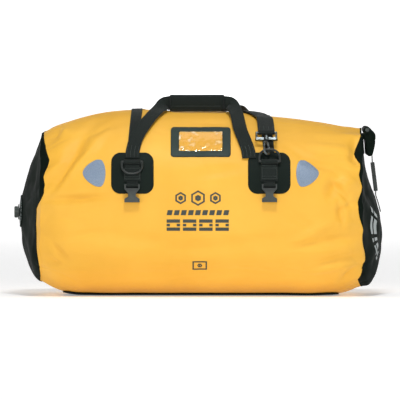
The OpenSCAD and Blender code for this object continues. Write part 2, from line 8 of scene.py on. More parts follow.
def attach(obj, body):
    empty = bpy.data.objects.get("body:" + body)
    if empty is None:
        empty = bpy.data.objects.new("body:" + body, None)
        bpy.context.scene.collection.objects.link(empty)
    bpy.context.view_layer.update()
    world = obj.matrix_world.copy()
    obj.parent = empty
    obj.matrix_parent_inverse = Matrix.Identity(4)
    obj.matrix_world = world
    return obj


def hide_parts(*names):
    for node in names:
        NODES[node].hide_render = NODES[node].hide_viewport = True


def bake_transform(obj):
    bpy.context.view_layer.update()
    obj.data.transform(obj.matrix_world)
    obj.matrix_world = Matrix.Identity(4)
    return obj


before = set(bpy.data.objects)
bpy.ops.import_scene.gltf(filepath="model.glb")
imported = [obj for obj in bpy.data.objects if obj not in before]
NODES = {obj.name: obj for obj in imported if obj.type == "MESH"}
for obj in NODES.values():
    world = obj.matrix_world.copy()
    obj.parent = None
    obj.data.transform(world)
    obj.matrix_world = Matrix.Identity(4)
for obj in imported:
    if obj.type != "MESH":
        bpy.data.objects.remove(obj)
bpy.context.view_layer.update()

MM = 0.001
scene = bpy.context.scene
scene.view_settings.view_transform = "Standard"

# ---------------------------------------------------------------- camera
CAMERA_DISTANCE = 12.0
VIEW_WIDTH = 0.72
ELEVATION = math.radians(1.2)
CAMERA_TARGET = Vector((-0.0015, -0.05, 0.1725))
SENSOR = 36
camera_data = bpy.data.cameras.new("camera")
camera = bpy.data.objects.new("camera", camera_data)
scene.collection.objects.link(camera)
scene.camera = camera
camera_data.sensor_width = SENSOR
camera_data.lens = SENSOR * CAMERA_DISTANCE / VIEW_WIDTH
camera_data.clip_end = 200  # metres, past the walls of the room
camera.location = CAMERA_TARGET + CAMERA_DISTANCE * Vector((0, -math.cos(ELEVATION), math.sin(ELEVATION)))
camera.rotation_euler = (math.pi / 2 - ELEVATION, 0, 0)

# ---------------------------------------------------------------- shape of the bag, in millimetres
STATIONS = np.array([[-288, 24, 292, 125], [-265, 12, 305, 140], [-235, 4, 316, 152], [-190, 2, 328, 163],
    [-120, 2, 335, 170], [-40, 2, 333, 172], [60, 2, 331, 172], [140, 2, 322, 170],
    [220, 2, 312, 161], [262, 6, 304, 150], [290, 18, 301, 132]], float)
X_LEFT, X_RIGHT = STATIONS[0, 0], STATIONS[-1, 0]
ROUND_TOP, ROUND_LOW = 2.2, 2.8
BULGE = 38
HOLLOW = 5.5  # how far the left end sinks beside its valve
RIM_X = {-1: X_LEFT, 1: X_RIGHT}
# Left and right end: power of the dome at mid height, how it changes up and down, height of its middle.
DOMES = {-1: (1.08, 0.5, 150), 1: (1.65, 1.3, 110)}


def sind(degrees):
    return math.sin(math.radians(degrees))


def cosd(degrees):
    return math.cos(math.radians(degrees))


def clamp(v, low=0.0, high=1.0):
    return min(high, max(low, v))


def at_station(x, k):
    """The stations' column k at x, on a smooth curve through them."""
    xs, v = STATIONS[:, 0], STATIONS[:, k]
    slope = np.gradient(v, xs)
    x = min(max(x, xs[0]), xs[-1])
    i = min(int(np.searchsorted(xs, x, side="right")) - 1, len(xs) - 2)
    h = xs[i + 1] - xs[i]
    t = (x - xs[i]) / h
    return float((2 * t**3 - 3 * t**2 + 1) * v[i] + (t**3 - 2 * t**2 + t) * h * slope[i]
        + (3 * t**2 - 2 * t**3) * v[i + 1] + (t**3 - t**2) * h * slope[i + 1])


CACHE = {}


def section(x):
    """Middle height, half height and half depth of the section at x."""
    key = round(x, 2)
    if key not in CACHE:
        low, top, deep = (at_station(x, k) for k in (1, 2, 3))
        CACHE[key] = ((low + top) / 2, (top - low) / 2, deep)
    return CACHE[key]


def power(v, p):
    return math.copysign(abs(v) ** p, v)


def unit(v):
    v = np.asarray(v, float)
    return v / max(np.linalg.norm(v), 1e-9)


def section_normal(x, y, z):
    mid, tall, deep = section(x)
    n = ROUND_TOP if z > mid else ROUND_LOW
    v, w = y / deep, (z - mid) / tall
    a, b = max(x - 8, X_LEFT), min(x + 8, X_RIGHT)
    d_mid, d_tall, d_deep = ((p - q) / (b - a) for p, q in zip(section(b), section(a)))
    lead = -abs(v) ** n * d_deep / deep - abs(w) ** n * d_tall / tall - power(w, n - 1) * d_mid / tall
    return unit([lead, power(v, n - 1) / deep, power(w, n - 1) / tall])


def skin(x, angle, off=0.0):
    """Point of the section at x. Angle 0 is the front, 90 the crest."""
    mid, tall, deep = section(x)
    c, s = cosd(angle), sind(angle)
    n = ROUND_TOP if s > 0 else ROUND_LOW
    p = np.array([x, -deep * power(c, 2 / n), mid + tall * power(s, 2 / n)])
    return p + off * section_normal(*p) if off else p


def face_point(x, z, off=0.0, side=-1):
    """Point of the front, or of the rear where side is 1, at x and height z."""
    mid, tall, deep = section(x)
    n = ROUND_TOP if z > mid else ROUND_LOW
    w = (z - mid) / tall
    p = np.array([x, side * deep * max(0.001, 1 - abs(w) ** n) ** (1 / n), z])
    return p + off * section_normal(*p)


def dome_point(side, r, angle, off=0.0):
    """Point of an end panel: r is 1 at its seam and 0 in its middle."""
    base, steep, centre = DOMES[side]
    edge = RIM_X[side]
    rim = skin(edge, angle)
    fall = 0.0 if side > 0 else HOLLOW * math.sin(math.pi * clamp((r - 0.11) / 0.75)) * cosd(angle) ** 2
    x = edge + side * (BULGE * max(0.0, 1 - r * r) ** (base + steep * sind(angle)) - fall + off)
    return np.array([x, rim[1] * r, centre + (rim[2] - centre) * r])


# ---------------------------------------------------------------- mesh helpers
def add_object(name, verts, faces, body="bag", smooth=True, uv=None):
    mesh = bpy.data.meshes.new(name)
    mesh.from_pydata([tuple(float(c) * MM for c in v) for v in verts], [], faces)
    if uv is not None:
        layer = mesh.uv_layers.new(name="UVMap")
        for loop in mesh.loops:
            layer.data[loop.index].uv = (uv[loop.vertex_index][0] * MM, uv[loop.vertex_index][1] * MM)
    mesh.validate()
    obj = bpy.data.objects.new(name, mesh)
    scene.collection.objects.link(obj)
    bm = bmesh.new()
    bm.from_mesh(mesh)
    bmesh.ops.recalc_face_normals(bm, faces=bm.faces)
    bm.to_mesh(mesh)
    bm.free()
    for p in mesh.polygons:
        p.use_smooth = smooth
    if body:
        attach(obj, body)
    return obj


def grid_faces(rows, cols, wrap_rows=False, wrap_cols=False):
    faces = []
    for j in range(rows if wrap_rows else rows - 1):
        for i in range(cols if wrap_cols else cols - 1):
            a, b = j * cols + i, j * cols + (i + 1) % cols
            c, d = ((j + 1) % rows) * cols + (i + 1) % cols, ((j + 1) % rows) * cols + i
            faces.append((a, b, c, d))
    return faces


def joined(name, parts, body="bag", smooth=True):
    """One object from several (verts, faces[, uv]) lists."""
    verts, faces, uv = [], [], []
    for part in parts:
        base = len(verts)
        verts += [tuple(v) for v in part[0]]
        faces += [tuple(base + i for i in f) for f in part[1]]
        uv += [tuple(u) for u in part[2]] if len(part) > 2 else [(0, 0)] * len(part[0])
    return add_object(name, verts, faces, body, smooth, uv)


def catmull(knots, steps):
    """Smooth list of points through the knots."""
    k = [np.asarray(p, float) for p in knots]
    out = []
    for i in range(len(k) - 1):
        a, b, c, d = k[max(i - 1, 0)], k[i], k[i + 1], k[min(i + 2, len(k) - 1)]
        for s in range(steps):
            u = s / steps
            out.append(0.5 * (2 * b + (c - a) * u + (2 * a - 5 * b + 4 * c - d) * u * u
                + (3 * b - a - 3 * c + d) * u**3))
    return out + [k[-1]]


def web_path(knots, steps):
    """[point, across, facing] along knots of x, y, z, nx, ny, nz."""
    s = catmull(knots, steps)
    path = []
    for i, p in enumerate(s):
        along = unit(s[min(i + 1, len(s) - 1)][:3] - s[max(i - 1, 0)][:3])
        facing = unit(p[3:] - np.dot(p[3:], along) * along)
        path.append((p[:3], np.cross(along, facing), facing))
    return path


def path_lengths(path):
    """Distance from a path's start to each of its points."""
    lengths = [0.0]
    for k in range(1, len(path)):
        lengths.append(lengths[-1] + float(np.linalg.norm(path[k][0] - path[k - 1][0])))
    return lengths


def web(path, width, thick):
    """Webbing along a path: a flat band with rounded edges. UV runs across and along, in millimetres."""
    half = width / 2
    r = thick / 2
    bends = np.linspace(0, math.pi, 5)
    profile = [(-half + r - r * math.sin(a), r - r * math.cos(a)) for a in bends]
    profile += [(x, thick) for x in np.linspace(-half + r, half - r, 7)[1:-1]]
    profile += [(half - r + r * math.sin(a), r + r * math.cos(a)) for a in bends]
    verts, uv = [], []
    for (p, across, facing), length in zip(path, path_lengths(path)):
        for x, h in profile:
            verts.append(p + across * x + facing * h)
            uv.append((x + (100 if h > r else 0), length))
    m, n = len(path), len(profile)
    faces = grid_faces(m, n, wrap_cols=True)
    faces += [tuple(range(n)), tuple((m - 1) * n + i for i in range(n))]
    return verts, faces, uv


def tube(points, radius, sides=10, closed=False):
    """Round cord along points."""
    pts = [np.asarray(p, float) for p in points]
    m = len(pts)
    verts, up = [], None
    for i, p in enumerate(pts):
        a, b = (pts[i - 1], pts[(i + 1) % m]) if closed else (pts[max(i - 1, 0)], pts[min(i + 1, m - 1)])
        along = unit(b - a)
        if up is None:
            up = unit(np.cross(along, [0.31, 0.77, 0.52]))
        up = unit(up - np.dot(up, along) * along)
        side = np.cross(along, up)
        for k in range(sides):
            t = 2 * math.pi * k / sides
            verts.append(p + radius * (math.cos(t) * up + math.sin(t) * side))
    faces = grid_faces(m, sides, wrap_rows=closed, wrap_cols=True)
    if not closed:
        faces += [tuple(range(sides)), tuple((m - 1) * sides + i for i in range(sides))]
    return verts, faces


def edge_profile(d, width):
    """0 at an edge, 1 from width inwards, round between them."""
    t = min(max(d / width, 0.0), 1.0)
    return math.sqrt(max(0.0, 1 - (1 - t) ** 2))


def on_side(z0, z1, left, right, side, off, thick, rows, cols, round_edge=1.2, place=face_point, dip=0.4):
    """Pillow-edged sheet on the side of the bag, between two heights and two edge functions of height."""
    verts, uv = [], []
    for j in range(rows + 1):
        t = 0.5 - 0.5 * math.cos(math.pi * j / rows)
        z = z0 + (z1 - z0) * t
        a, b = left(z), right(z)
        for i in range(cols + 1):
            s = 0.5 - 0.5 * math.cos(math.pi * i / cols)
            x = a + (b - a) * s
            d = min(x - a, b - x, z - z0, z1 - z)
            h = thick * edge_profile(d, round_edge)
            verts.append(place(x, z, off + h if d > 1e-6 else off - dip, side))
            uv.append((x, z))
    return verts, grid_faces(rows + 1, cols + 1), uv


def rounded_box(x0, x1, z0, z1, r):
    """Left and right edge functions of a rectangle with rounded corners."""
    def inset(z):
        reach = max(0.0, abs(z - (z0 + z1) / 2) - (z1 - z0) / 2 + r) / r
        return r * (1 - math.sqrt(max(0.0, 1 - min(reach, 1.0) ** 2)))
    return (lambda z: x0 + inset(z)), (lambda z: x1 - inset(z))


def rounded_corners(x0, x1, z0, z1, r, n):
    """Four arcs of n points at the corners of a rectangle, going round it."""
    corners = ((x1 - r, z0 + r, -90), (x1 - r, z1 - r, 0), (x0 + r, z1 - r, 90), (x0 + r, z0 + r, 180))
    turns = [90 * k / (n - 1) for k in range(n)]
    return [[(cx + r * cosd(a0 + t), cz + r * sind(a0 + t)) for t in turns] for cx, cz, a0 in corners]


def between(a, b, m):
    """m evenly spaced points from a towards b, without b."""
    return [(a[0] + (b[0] - a[0]) * j / m, a[1] + (b[1] - a[1]) * j / m) for j in range(m)]


# ---------------------------------------------------------------- wrinkles and seams
# Where the yellow meets the black at each end: x by height.
SEAMS = {-1: [(0, -284), (14, -286), (29, -291), (61, -292), (92, -295), (128, -297), (160, -297), (168, -293),
    (174, -288), (185, -281), (200, -281), (214, -282), (226, -277), (241, -272), (255, -276), (275, -281),
    (293, -285), (320, -287)],
    1: [(0, 291), (12, 291), (22, 287), (35, 281), (46, 288), (61, 295), (78, 294.5), (91, 292), (105, 292),
    (119, 291), (140, 286), (158, 281), (168, 281), (178, 284), (190, 288), (199, 289), (212, 286), (220, 284),
    (232, 286), (240, 287), (250, 282), (260, 277), (272, 280), (285, 286), (300, 288), (320, 288)]}


def seam_x(side, angle):
    """Where the yellow meets the black. The rear follows the front's line, shifted so that it isn't a mirror."""
    y, z = skin(RIM_X[side], angle)[1:]
    if y > 0:
        z = (z * 0.93 + 31) if side > 0 else z * 0.9 + 12
    x = float(np.interp(z, *zip(*SEAMS[side])))
    wave = 1.6 * sind(angle * 7 + 40) if side > 0 else 1.2 * sind(angle * 5)
    x += wave * (1.0 if y > 0 else 0.35)
    return max(x, X_LEFT - 9.5) if side < 0 else min(x, X_RIGHT + 7)


def bump(u, v, cu, cv, lu, lv, turn):
    """Long soft mound centred at cu, cv, with half lengths lu along the turn and lv across it."""
    t = math.radians(turn)
    a = ((u - cu) * math.cos(t) + (v - cv) * math.sin(t)) / lu
    b = (-(u - cu) * math.sin(t) + (v - cv) * math.cos(t)) / lv
    return math.exp(-a * a - b * b)


# Folds of the front: x, z, half length, half width, turn and height.
FOLDS = [(-228, 262, 58, 12, 52, -8.5), (-212, 246, 66, 7, 50, 3.6), (-256, 238, 30, 7, 42, 3.4),
    (-262, 292, 20, 8, 50, -4.5), (-246, 300, 10, 7, 0, 3.0), (-200, 284, 18, 14, 60, 3.0),
    (-208, 178, 60, 5.5, 3, -5.0), (-214, 165, 62, 9, 0, 3.0), (-250, 214, 40, 7, 58, -4.2),
    (-236, 140, 26, 6, -14, -2.2), (-206, 112, 44, 7, 8, -2.2), (-254, 82, 20, 6, -50, -3.4),
    (-262, 62, 14, 5, -20, -3.2), (-200, 64, 60, 11, -6, -1.8), (238, 198, 13, 20, -24, -9.0),
    (250, 206, 16, 5, -34, 3.2), (256, 184, 24, 5, -52, -4.6), (256, 132, 16, 8, 0, 3.4),
    (250, 152, 7, 26, 6, -5.0), (262, 162, 20, 5, 30, -3.0), (205, 120, 40, 8, 28, 3.6),
    (216, 98, 50, 8, 8, -5.2), (176, 138, 56, 9, -32, -3.0), (240, 66, 46, 7, 14, -3.6),
    (228, 50, 40, 6, 10, 2.4), (268, 40, 20, 7, 40, -6.0), (276, 262, 9, 20, 0, -6.5),
    (262, 232, 22, 7, -18, -3.6), (214, 236, 46, 7, -12, -2.6), (226, 268, 34, 8, -8, 2.0),
    (270, 206, 12, 8, 0, 3.0), (60, 96, 120, 13, 6, -2.4), (-110, 104, 100, 13, -8, -2.4),
    (40, 226, 56, 9, 8, -2.0), (-60, 44, 150, 9, 2, -2.0), (120, 44, 110, 8, -4, -2.2),
    (-40, 200, 60, 8, -20, -1.6), (90, 168, 60, 9, -16, -1.8), (-160, 216, 26, 7, 74, -2.6),
    (170, 260, 40, 7, -30, -1.8), (-176, 300, 30, 6, 24, -2.0), (20, 312, 40, 6, -4, -1.6)]
HARDWARE = [(-122, 205), (122, 205)]


def ridged(p):
    """Thin crease lines: 1 on a line, 0 away from it."""
    return max(0.0, 1 - 7 * abs(noise.noise(p))) ** 2


def wrinkle(x, y, z):
    """How far the fabric stands off its plain shape."""
    u, v = (x, z) if y < 0 else (-x * 0.94 + 9, z * 0.97 + 4)
    near_side = min(1.0, abs(y) / 70)
    d = 1.35 * near_side * sum(h * bump(u, v, cu, cv, lu, lv, t) for cu, cv, lu, lv, t, h in FOLDS)
    d += 1.3 * (noise.noise(Vector((x * 0.009, y * 0.011, z * 0.011))) - 0.25)
    end = max(0.0, (abs(x) - 190) / 100)
    d += 2.2 * end * (noise.noise(Vector((x * 0.012 + 7, y * 0.035, z * 0.035))) - 0.2)
    d += (0.5 + 0.5 * end) * (noise.noise(Vector((x * 0.022, y * 0.03, z * 0.04 + 9))) - 0.1)
    d -= (0.35 + 0.9 * end) * ridged(Vector((x * 0.010 + 3, y * 0.02, z * 0.02)))
    d -= 0.25 * ridged(Vector((x * 0.024, y * 0.03 + 5, z * 0.028)))
    if x > 0:
        d += 2.0 * end * end * math.sin(z * 0.17 + y * 0.05)
    for cx, cz in HARDWARE:
        away = math.hypot((x - cx) / 62, (z - cz) / 68)
        d *= min(1.0, max(0.15, (away - 0.6) / 0.8)) if away < 1.4 else 1.0
    if z < 14:
        d *= max(0.0, z / 14)
    return min(d, 4.5)


def fabric_point(x, z, off=0.0, side=-1):
    p = face_point(x, z, 0, side)
    return p + (off + wrinkle(*p)) * section_normal(*p)


def fabric_skin(x, angle, off=0.0):
    p = skin(x, angle)
    return p + (off + wrinkle(*p)) * section_normal(*p)


# ---------------------------------------------------------------- materials
def colour(r, g, b):
    """Linear colour from 0 to 255 values."""
    return tuple(c / 255 / 12.92 if c <= 10 else ((c / 255 + 0.055) / 1.055) ** 2.4 for c in (r, g, b)) + (1.0,)


class Shader:
    """Small helper that strings material nodes together."""

    def __init__(self, name):
        self.material = bpy.data.materials.new(name)
        self.material.use_nodes = True
        self.tree = self.material.node_tree
        self.bsdf = self.tree.nodes["Principled BSDF"]
        self.coords = self.tree.nodes.new("ShaderNodeTexCoord")

    def feed(self, socket, value):
        if isinstance(value, bpy.types.NodeSocket):
            self.tree.links.new(value, socket)
        else:
            socket.default_value = value

    def set(self, **values):
        """Feed inputs of the surface, with _ for each space in their names."""
        for key, value in values.items():
            self.feed(self.bsdf.inputs[key.replace("_", " ")], value)

    def node(self, kind, inputs, **props):
        n = self.tree.nodes.new(kind)
        for key, value in props.items():
            setattr(n, key, value)
        for key, value in inputs.items():
            self.feed(n.inputs[key], value)
        return n

    def scaled(self, scale, source="Object", turn=(0, 0, 0)):
        return self.node("ShaderNodeMapping", {"Vector": self.coords.outputs[source], "Scale": scale,
            "Rotation": turn}).outputs["Vector"]

    def noise(self, scale, detail=3, stretch=(1, 1, 1), rough=0.5):
        return self.node("ShaderNodeTexNoise", {"Vector": self.scaled(stretch), "Scale": scale, "Detail": detail,
            "Roughness": rough}).outputs["Fac"]

    def wave(self, period_mm, direction, source="Object", turn=(0, 0, 0)):
        """Even ribs, one each period."""
        scale = 2 * math.pi / (period_mm * MM) / 20
        return self.node("ShaderNodeTexWave", {"Vector": self.scaled((1, 1, 1), source, turn), "Scale": scale},
            bands_direction=direction).outputs["Fac"]

    def weave(self, period_mm):
        return self.maths("MAXIMUM", self.wave(period_mm, "X"), self.wave(period_mm, "Z"))

    def fade(self, value, low, high):
        """Black up to low and white from high."""
        n = self.node("ShaderNodeValToRGB", {"Fac": value})
        for e, position, tone in zip(n.color_ramp.elements, (low, high), (0, 1)):
            e.position, e.color = position, (tone, tone, tone, 1.0)
        return n.outputs["Color"]

    def maths(self, operation, a, b):
        return self.node("ShaderNodeMath", {0: a, 1: b}, operation=operation).outputs[0]

    def times(self, value, factor):
        return self.maths("MULTIPLY", value, factor)

    def spread(self, value, amount, low):
        """The value times amount, on top of low."""
        return self.maths("ADD", self.times(value, amount), low)

    def mix(self, fac, a, b):
        n = self.node("ShaderNodeMix", {}, data_type="RGBA")
        for key, kind, value in (("Factor", "VALUE", fac), ("A", "RGBA", a), ("B", "RGBA", b)):
            self.feed([i for i in n.inputs if (i.name, i.type) == (key, kind)][0], value)
        return [o for o in n.outputs if o.type == "RGBA"][0]

    def bumps(self, *layers):
        """Bump from (height value, strength, distance in mm) layers, each on top of the one before."""
        normal = {}
        for value, strength, distance in layers:
            inputs = {"Height": value, "Strength": strength, "Distance": distance * MM} | normal
            normal = {"Normal": self.node("ShaderNodeBump", inputs).outputs["Normal"]}
        self.set(**normal)
        return self.material


def tarpaulin(name, light, dark, wear, rough, crease, shine=0.26):
    s = Shader(name)
    base = s.mix(s.fade(s.noise(7, 4, rough=0.55), 0.3, 0.7), dark, light)
    scuff = s.fade(s.noise(60, 6, rough=0.7), 0.62, 0.78)
    s.set(Base_Color=s.mix(s.times(scuff, 0.22), base, wear), Specular_IOR_Level=shine,
        Roughness=s.spread(s.noise(45, 4), 0.16, rough - 0.08))
    return s.bumps((s.noise(14, 4, rough=0.45), crease, 2.2), (s.noise(48, 3, (1, 1, 1.6)), crease * 0.5, 0.7),
        (s.weave(1.9), 0.10, 0.12), (s.noise(900, 2), 0.12, 0.06))


YELLOW = tarpaulin("tarpaulin_yellow", colour(238, 182, 68), colour(228, 170, 56), colour(212, 158, 60), 0.5,
    0.45)
BLACK = tarpaulin("tarpaulin_black", colour(14, 24, 18), colour(7, 14, 10), colour(28, 37, 32), 0.66, 0.35, 0.05)
FRAME = tarpaulin("window_frame_coating", colour(44, 58, 54), colour(36, 50, 46), colour(56, 68, 64), 0.5, 0.12,
    0.16)
PATCH = tarpaulin("patch_coating", colour(20, 31, 26), colour(13, 22, 18), colour(38, 48, 43), 0.6, 0.2, 0.1)


def webbing_material(name, light, dark, rib_mm, rows_mm):
    s = Shader(name)
    twill = s.wave(rib_mm * 1.7, "X", "UV", (0, 0, math.radians(38)))
    height = s.maths("ADD", s.times(s.wave(rib_mm, "Y", "UV"), 0.6), s.times(s.wave(rows_mm, "X", "UV"), 0.4))
    # The ribs' height also sets the colour: painted shade darkens the grooves between ribs, and the rib tops stay
    # lighter.
    tint = s.mix(s.times(height, 0.75), dark, light)
    tint = s.mix(s.times(s.noise(35, 4), 0.3), tint, dark)
    fuzz = s.fade(s.noise(420, 3), 0.6, 0.75)
    s.set(Base_Color=s.mix(s.times(fuzz, 0.25), tint, colour(48, 58, 54)), Roughness=0.75,
        Specular_IOR_Level=0.25, Sheen_Weight=0.08, Sheen_Roughness=0.4)
    return s.bumps((height, 0.5, 0.35), (twill, 0.18, 0.2), (s.noise(700, 2), 0.3, 0.12))


WEBBING = webbing_material("webbing", colour(27, 39, 34), colour(8, 14, 12), 1.25, 2.4)
SHOULDER = webbing_material("webbing_shoulder", colour(26, 37, 32), colour(7, 13, 11), 1.5, 3.0)


def grip_material():
    s = Shader("grip_fabric")
    weave = s.weave(1.5)
    # The weave's height also sets the colour: painted shade darkens the gaps between threads, and the raised
    # threads stay lighter.
    tint = s.mix(s.times(weave, 0.6), colour(9, 15, 13), colour(24, 34, 30))
    s.set(Base_Color=s.mix(s.times(s.noise(60, 5), 0.35), tint, colour(16, 23, 20)), Roughness=0.82,
        Specular_IOR_Level=0.2, Sheen_Weight=0.1)
    return s.bumps((s.noise(30, 3), 0.3, 1.2), (weave, 0.4, 0.25), (s.noise(800, 2), 0.3, 0.1))


def plastic_material(name, base, worn, rough):
    s = Shader(name)
    edge = s.node("ShaderNodeNewGeometry", {}).outputs["Pointiness"]
    patchy = s.times(s.fade(edge, 0.52, 0.6), s.noise(160, 4))
    tone = s.mix(s.noise(30, 3), base, tuple(c * 0.8 for c in base[:3]) + (1,))
    s.set(Base_Color=s.mix(patchy, tone, worn), Roughness=s.spread(s.noise(90, 4), 0.18, rough - 0.09))
    return s.bumps((s.noise(1400, 2), 0.25, 0.06), (s.noise(120, 3), 0.08, 0.4))


def metal_material():
    s = Shader("hook_metal")
    s.set(Metallic=1.0, Base_Color=s.mix(s.noise(110, 5), colour(66, 74, 74), colour(124, 132, 134)),
        Roughness=s.spread(s.noise(260, 4), 0.2, 0.2))
    return s.bumps((s.noise(500, 3, (1, 1, 6)), 0.12, 0.1))


def reflector_material():
    s = Shader("reflective_film")
    cells = s.node("ShaderNodeTexVoronoi", {"Vector": s.scaled((1, 1, 1)), "Scale": 620.0},
        feature="F1").outputs["Distance"]
    tint = s.mix(s.fade(cells, 0.2, 0.6), colour(112, 130, 152), colour(132, 148, 168))
    s.set(Base_Color=s.mix(s.times(s.noise(26, 4), 0.4), tint, colour(122, 138, 158)), Metallic=0.1,
        Roughness=0.38)
    return s.bumps((cells, 0.15, 0.1), (s.noise(20, 3), 0.1, 0.8))


def film_material():
    s = Shader("clear_film")
    # Pale blotches are painted glare: a painted reflection that whitens the film and makes it less clear where it
    # lies.
    glare_spots = s.times(s.fade(s.noise(62, 5, rough=0.62), 0.52, 0.60), s.fade(s.noise(24, 2), 0.46, 0.62))
    s.set(Base_Color=s.mix(glare_spots, colour(238, 190, 82), colour(252, 240, 214)), Roughness=0.08, Coat_Weight=0.6,
        Coat_Roughness=0.03, Alpha=s.spread(glare_spots, 0.5, 0.42))
    return s.bumps((s.noise(40, 4), 0.5, 1.2), (s.noise(120, 3), 0.2, 0.4))


def ink_material(name, tone, worn, amount):
    s = Shader(name)
    rub = s.fade(s.noise(240, 6, rough=0.75), 0.58, 0.74)
    s.set(Base_Color=s.mix(s.times(rub, amount), tone, worn), Roughness=s.spread(s.noise(80, 3), 0.2, 0.4))
    return s.bumps((s.noise(900, 2), 0.2, 0.05))


GRIP = grip_material()
PLASTIC = plastic_material("moulded_plastic", colour(20, 29, 26), colour(52, 62, 58), 0.42)
VALVE = plastic_material("valve_plastic", colour(24, 33, 30), colour(62, 72, 68), 0.36)
METAL = metal_material()
REFLECTOR = reflector_material()
FILM = film_material()
INK = ink_material("dark_ink", colour(48, 56, 48), colour(120, 104, 60), 0.25)
PALE_INK = ink_material("pale_ink", colour(150, 158, 158), colour(60, 70, 66), 0.5)
THREAD = ink_material("thread", colour(52, 62, 58), colour(80, 90, 86), 0.4)


def paint(obj, material):
    obj.data.materials.clear()
    obj.data.materials.append(material)


def dress(obj, material, slot, *nodes):
    """Paint a new piece, and hide the solid parts that it stands for. The slot is not used."""
    paint(obj, material)
    if nodes:
        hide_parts(*nodes)


def wall(obj, thick):
    """Give a surface its thickness, inwards."""
    m = obj.modifiers.new("wall", "SOLIDIFY")
    m.thickness = thick * MM
    m.offset = -1


# ---------------------------------------------------------------- the tarpaulin tube and its ends
AROUND = 320
ALONG = 240


def end_wrinkle(side, r, angle, p):
    """Folds of an end panel: tucks run in from the seam and fade towards the middle."""
    inside = max(0.0, 1 - r**8)

    def spot(scale, seed):
        return Vector((p[1] * scale, p[2] * scale, side * seed))
    fade = clamp((r - 0.25) / 0.5) * max(0.0, 1 - r**10)
    waves = 9 if side > 0 else 7
    tucks = math.sin(math.radians(angle * waves) + 3 * noise.noise(Vector((angle * 0.02, side, 0))))
    d = 2.2 * fade * tucks + 3.4 * inside * noise.noise(spot(0.016, 3.1))
    d += 1.4 * inside * noise.noise(spot(0.05, 5.3))
    d -= inside * ridged(spot(0.013, 7.7))
    calm = 1.0 if side > 0 else clamp((math.hypot(p[1], p[2] - DOMES[-1][2]) - 27) / 22)
    return (d - inside) * calm


def dome_fabric(side, r, angle):
    edge = RIM_X[side]
    p = dome_point(side, r, angle)
    rim = fabric_skin(edge, angle, 0.95) - skin(edge, angle)
    return p + rim * max(0.0, 1 - (1 - r) * 9) + np.array([side * end_wrinkle(side, r, angle, p), 0, 0])


def share_at(side, angle, x):
    """How far in from the rim, as a share, an end panel reaches x. 1 is the rim."""
    base, steep = DOMES[side][:2]
    over = side * (x - RIM_X[side])
    if over <= 0:
        return 1.0
    return math.sqrt(1 - min(0.6, (over / BULGE) ** (1 / (base + steep * sind(angle)))))


def shell_point(x, angle, off=0.0):
    """The fabric at x, which may lie past a rim, on an end panel."""
    side = -1 if x < 0 else 1
    r = share_at(side, angle, x)
    if r >= 1:
        return fabric_skin(x, angle, off)
    return dome_fabric(side, r, angle) + np.array([side * (off - 0.9), 0, 0])


def tube_skin():
    verts, uv = [], []
    for i in range(AROUND):
        angle = 360 * i / AROUND
        a, b = seam_x(-1, angle), seam_x(1, angle)
        for j in range(ALONG):
            s = j / (ALONG - 1)
            s = 0.5 - 0.5 * math.cos(math.pi * s) * (0.55 + 0.45 * abs(math.cos(math.pi * s)))
            x = a + (b - a) * s
            verts.append(shell_point(x, angle))
            uv.append((x, angle))
    return verts, grid_faces(AROUND, ALONG, wrap_rows=True)


tube_obj = add_object("tarpaulin_tube", *tube_skin())
wall(tube_obj, 1.2)
dress(tube_obj, YELLOW, "tarpaulin_yellow", "body_tube")


def end_panel(side):
    """Black end: a lip over the yellow from the wavy seam to the rim, then the domed panel."""
    lip_rows, dome_rows = 10, 70
    lifts = (-0.5, 0.75, 0.95)
    n = AROUND
    verts, uv = [], []
    edge = RIM_X[side]
    for k in range(lip_rows):
        t = k / (lip_rows - 1)
        lift = lifts[min(k, 2)]
        for i in range(n):
            angle = 360 * i / n
            seam = seam_x(side, angle)
            if side * (seam - edge) < 0:
                verts.append(fabric_skin(seam + (edge - seam) * t - side * (0.8 if k == 0 else 0), angle, lift))
            else:
                r = share_at(side, angle, seam) + 0.004 - 0.006 * t
                verts.append(dome_fabric(side, min(r, 1.0), angle) + np.array([side * (lift - lifts[-1]), 0, 0]))
            uv.append((verts[-1][0], angle))
    crowding, middle = 1.15, 0.068
    for k in range(1, dome_rows):
        for i in range(n):
            angle = 360 * i / n
            top = share_at(side, angle, seam_x(side, angle)) - 0.002
            r = top - (k / (dome_rows - 1)) ** crowding * (top - middle)
            verts.append(dome_fabric(side, r, angle))
            uv.append((r * 100, angle))
    rows = lip_rows + dome_rows - 1
    faces = grid_faces(rows, n, wrap_cols=True)
    if side > 0:
        base = (rows - 1) * n
        verts.append(np.mean(np.array(verts[base:base + n]), axis=0) + np.array([0.4, 0, 0]))
        uv.append((0, 0))
        faces += [(base + i, base + (i + 1) % n, len(verts) - 1) for i in range(n)]
    name = "right" if side > 0 else "left"
    obj = add_object(f"end_fabric_{name}", verts, faces, uv=uv)
    wall(obj, 0.9)
    dress(obj, BLACK, "tarpaulin_black", f"end_panel_{name}")


for side in (-1, 1):
    end_panel(side)

# ---------------------------------------------------------------- patches, reflectors, window and prints
PATCH_X, PATCH_LOW, PATCH_HIGH, PATCH_HALF = 122, 186, 259, 38
# Name, side (front or rear) and hand of the four places that carry patches.
PLACES = [(f"{face}_{hand}", side, s) for face, side in (("front", -1), ("rear", 1))
    for hand, s in (("left", -1), ("right", 1))]


def piece(name, parts, material, slot, *nodes, body="bag"):
    obj = joined(name, parts, body)
    dress(obj, material, slot, *nodes)
    return obj


for name, side, s in PLACES:
    cx = s * PATCH_X
    left, right = rounded_box(cx - PATCH_HALF, cx + PATCH_HALF, PATCH_LOW, PATCH_HIGH, 17)
    patch = on_side(PATCH_LOW, PATCH_HIGH, left, right, side, 0.2, 1.2, 44, 44, 1.6, fabric_point, 1.0)
    piece(f"anchor_patch_{name}", [patch], PATCH, "tarpaulin_black", f"patch_{name}")

REFLECTOR_X, REFLECTOR_Z, REFLECTOR_HALF = 190, 222.5, 24


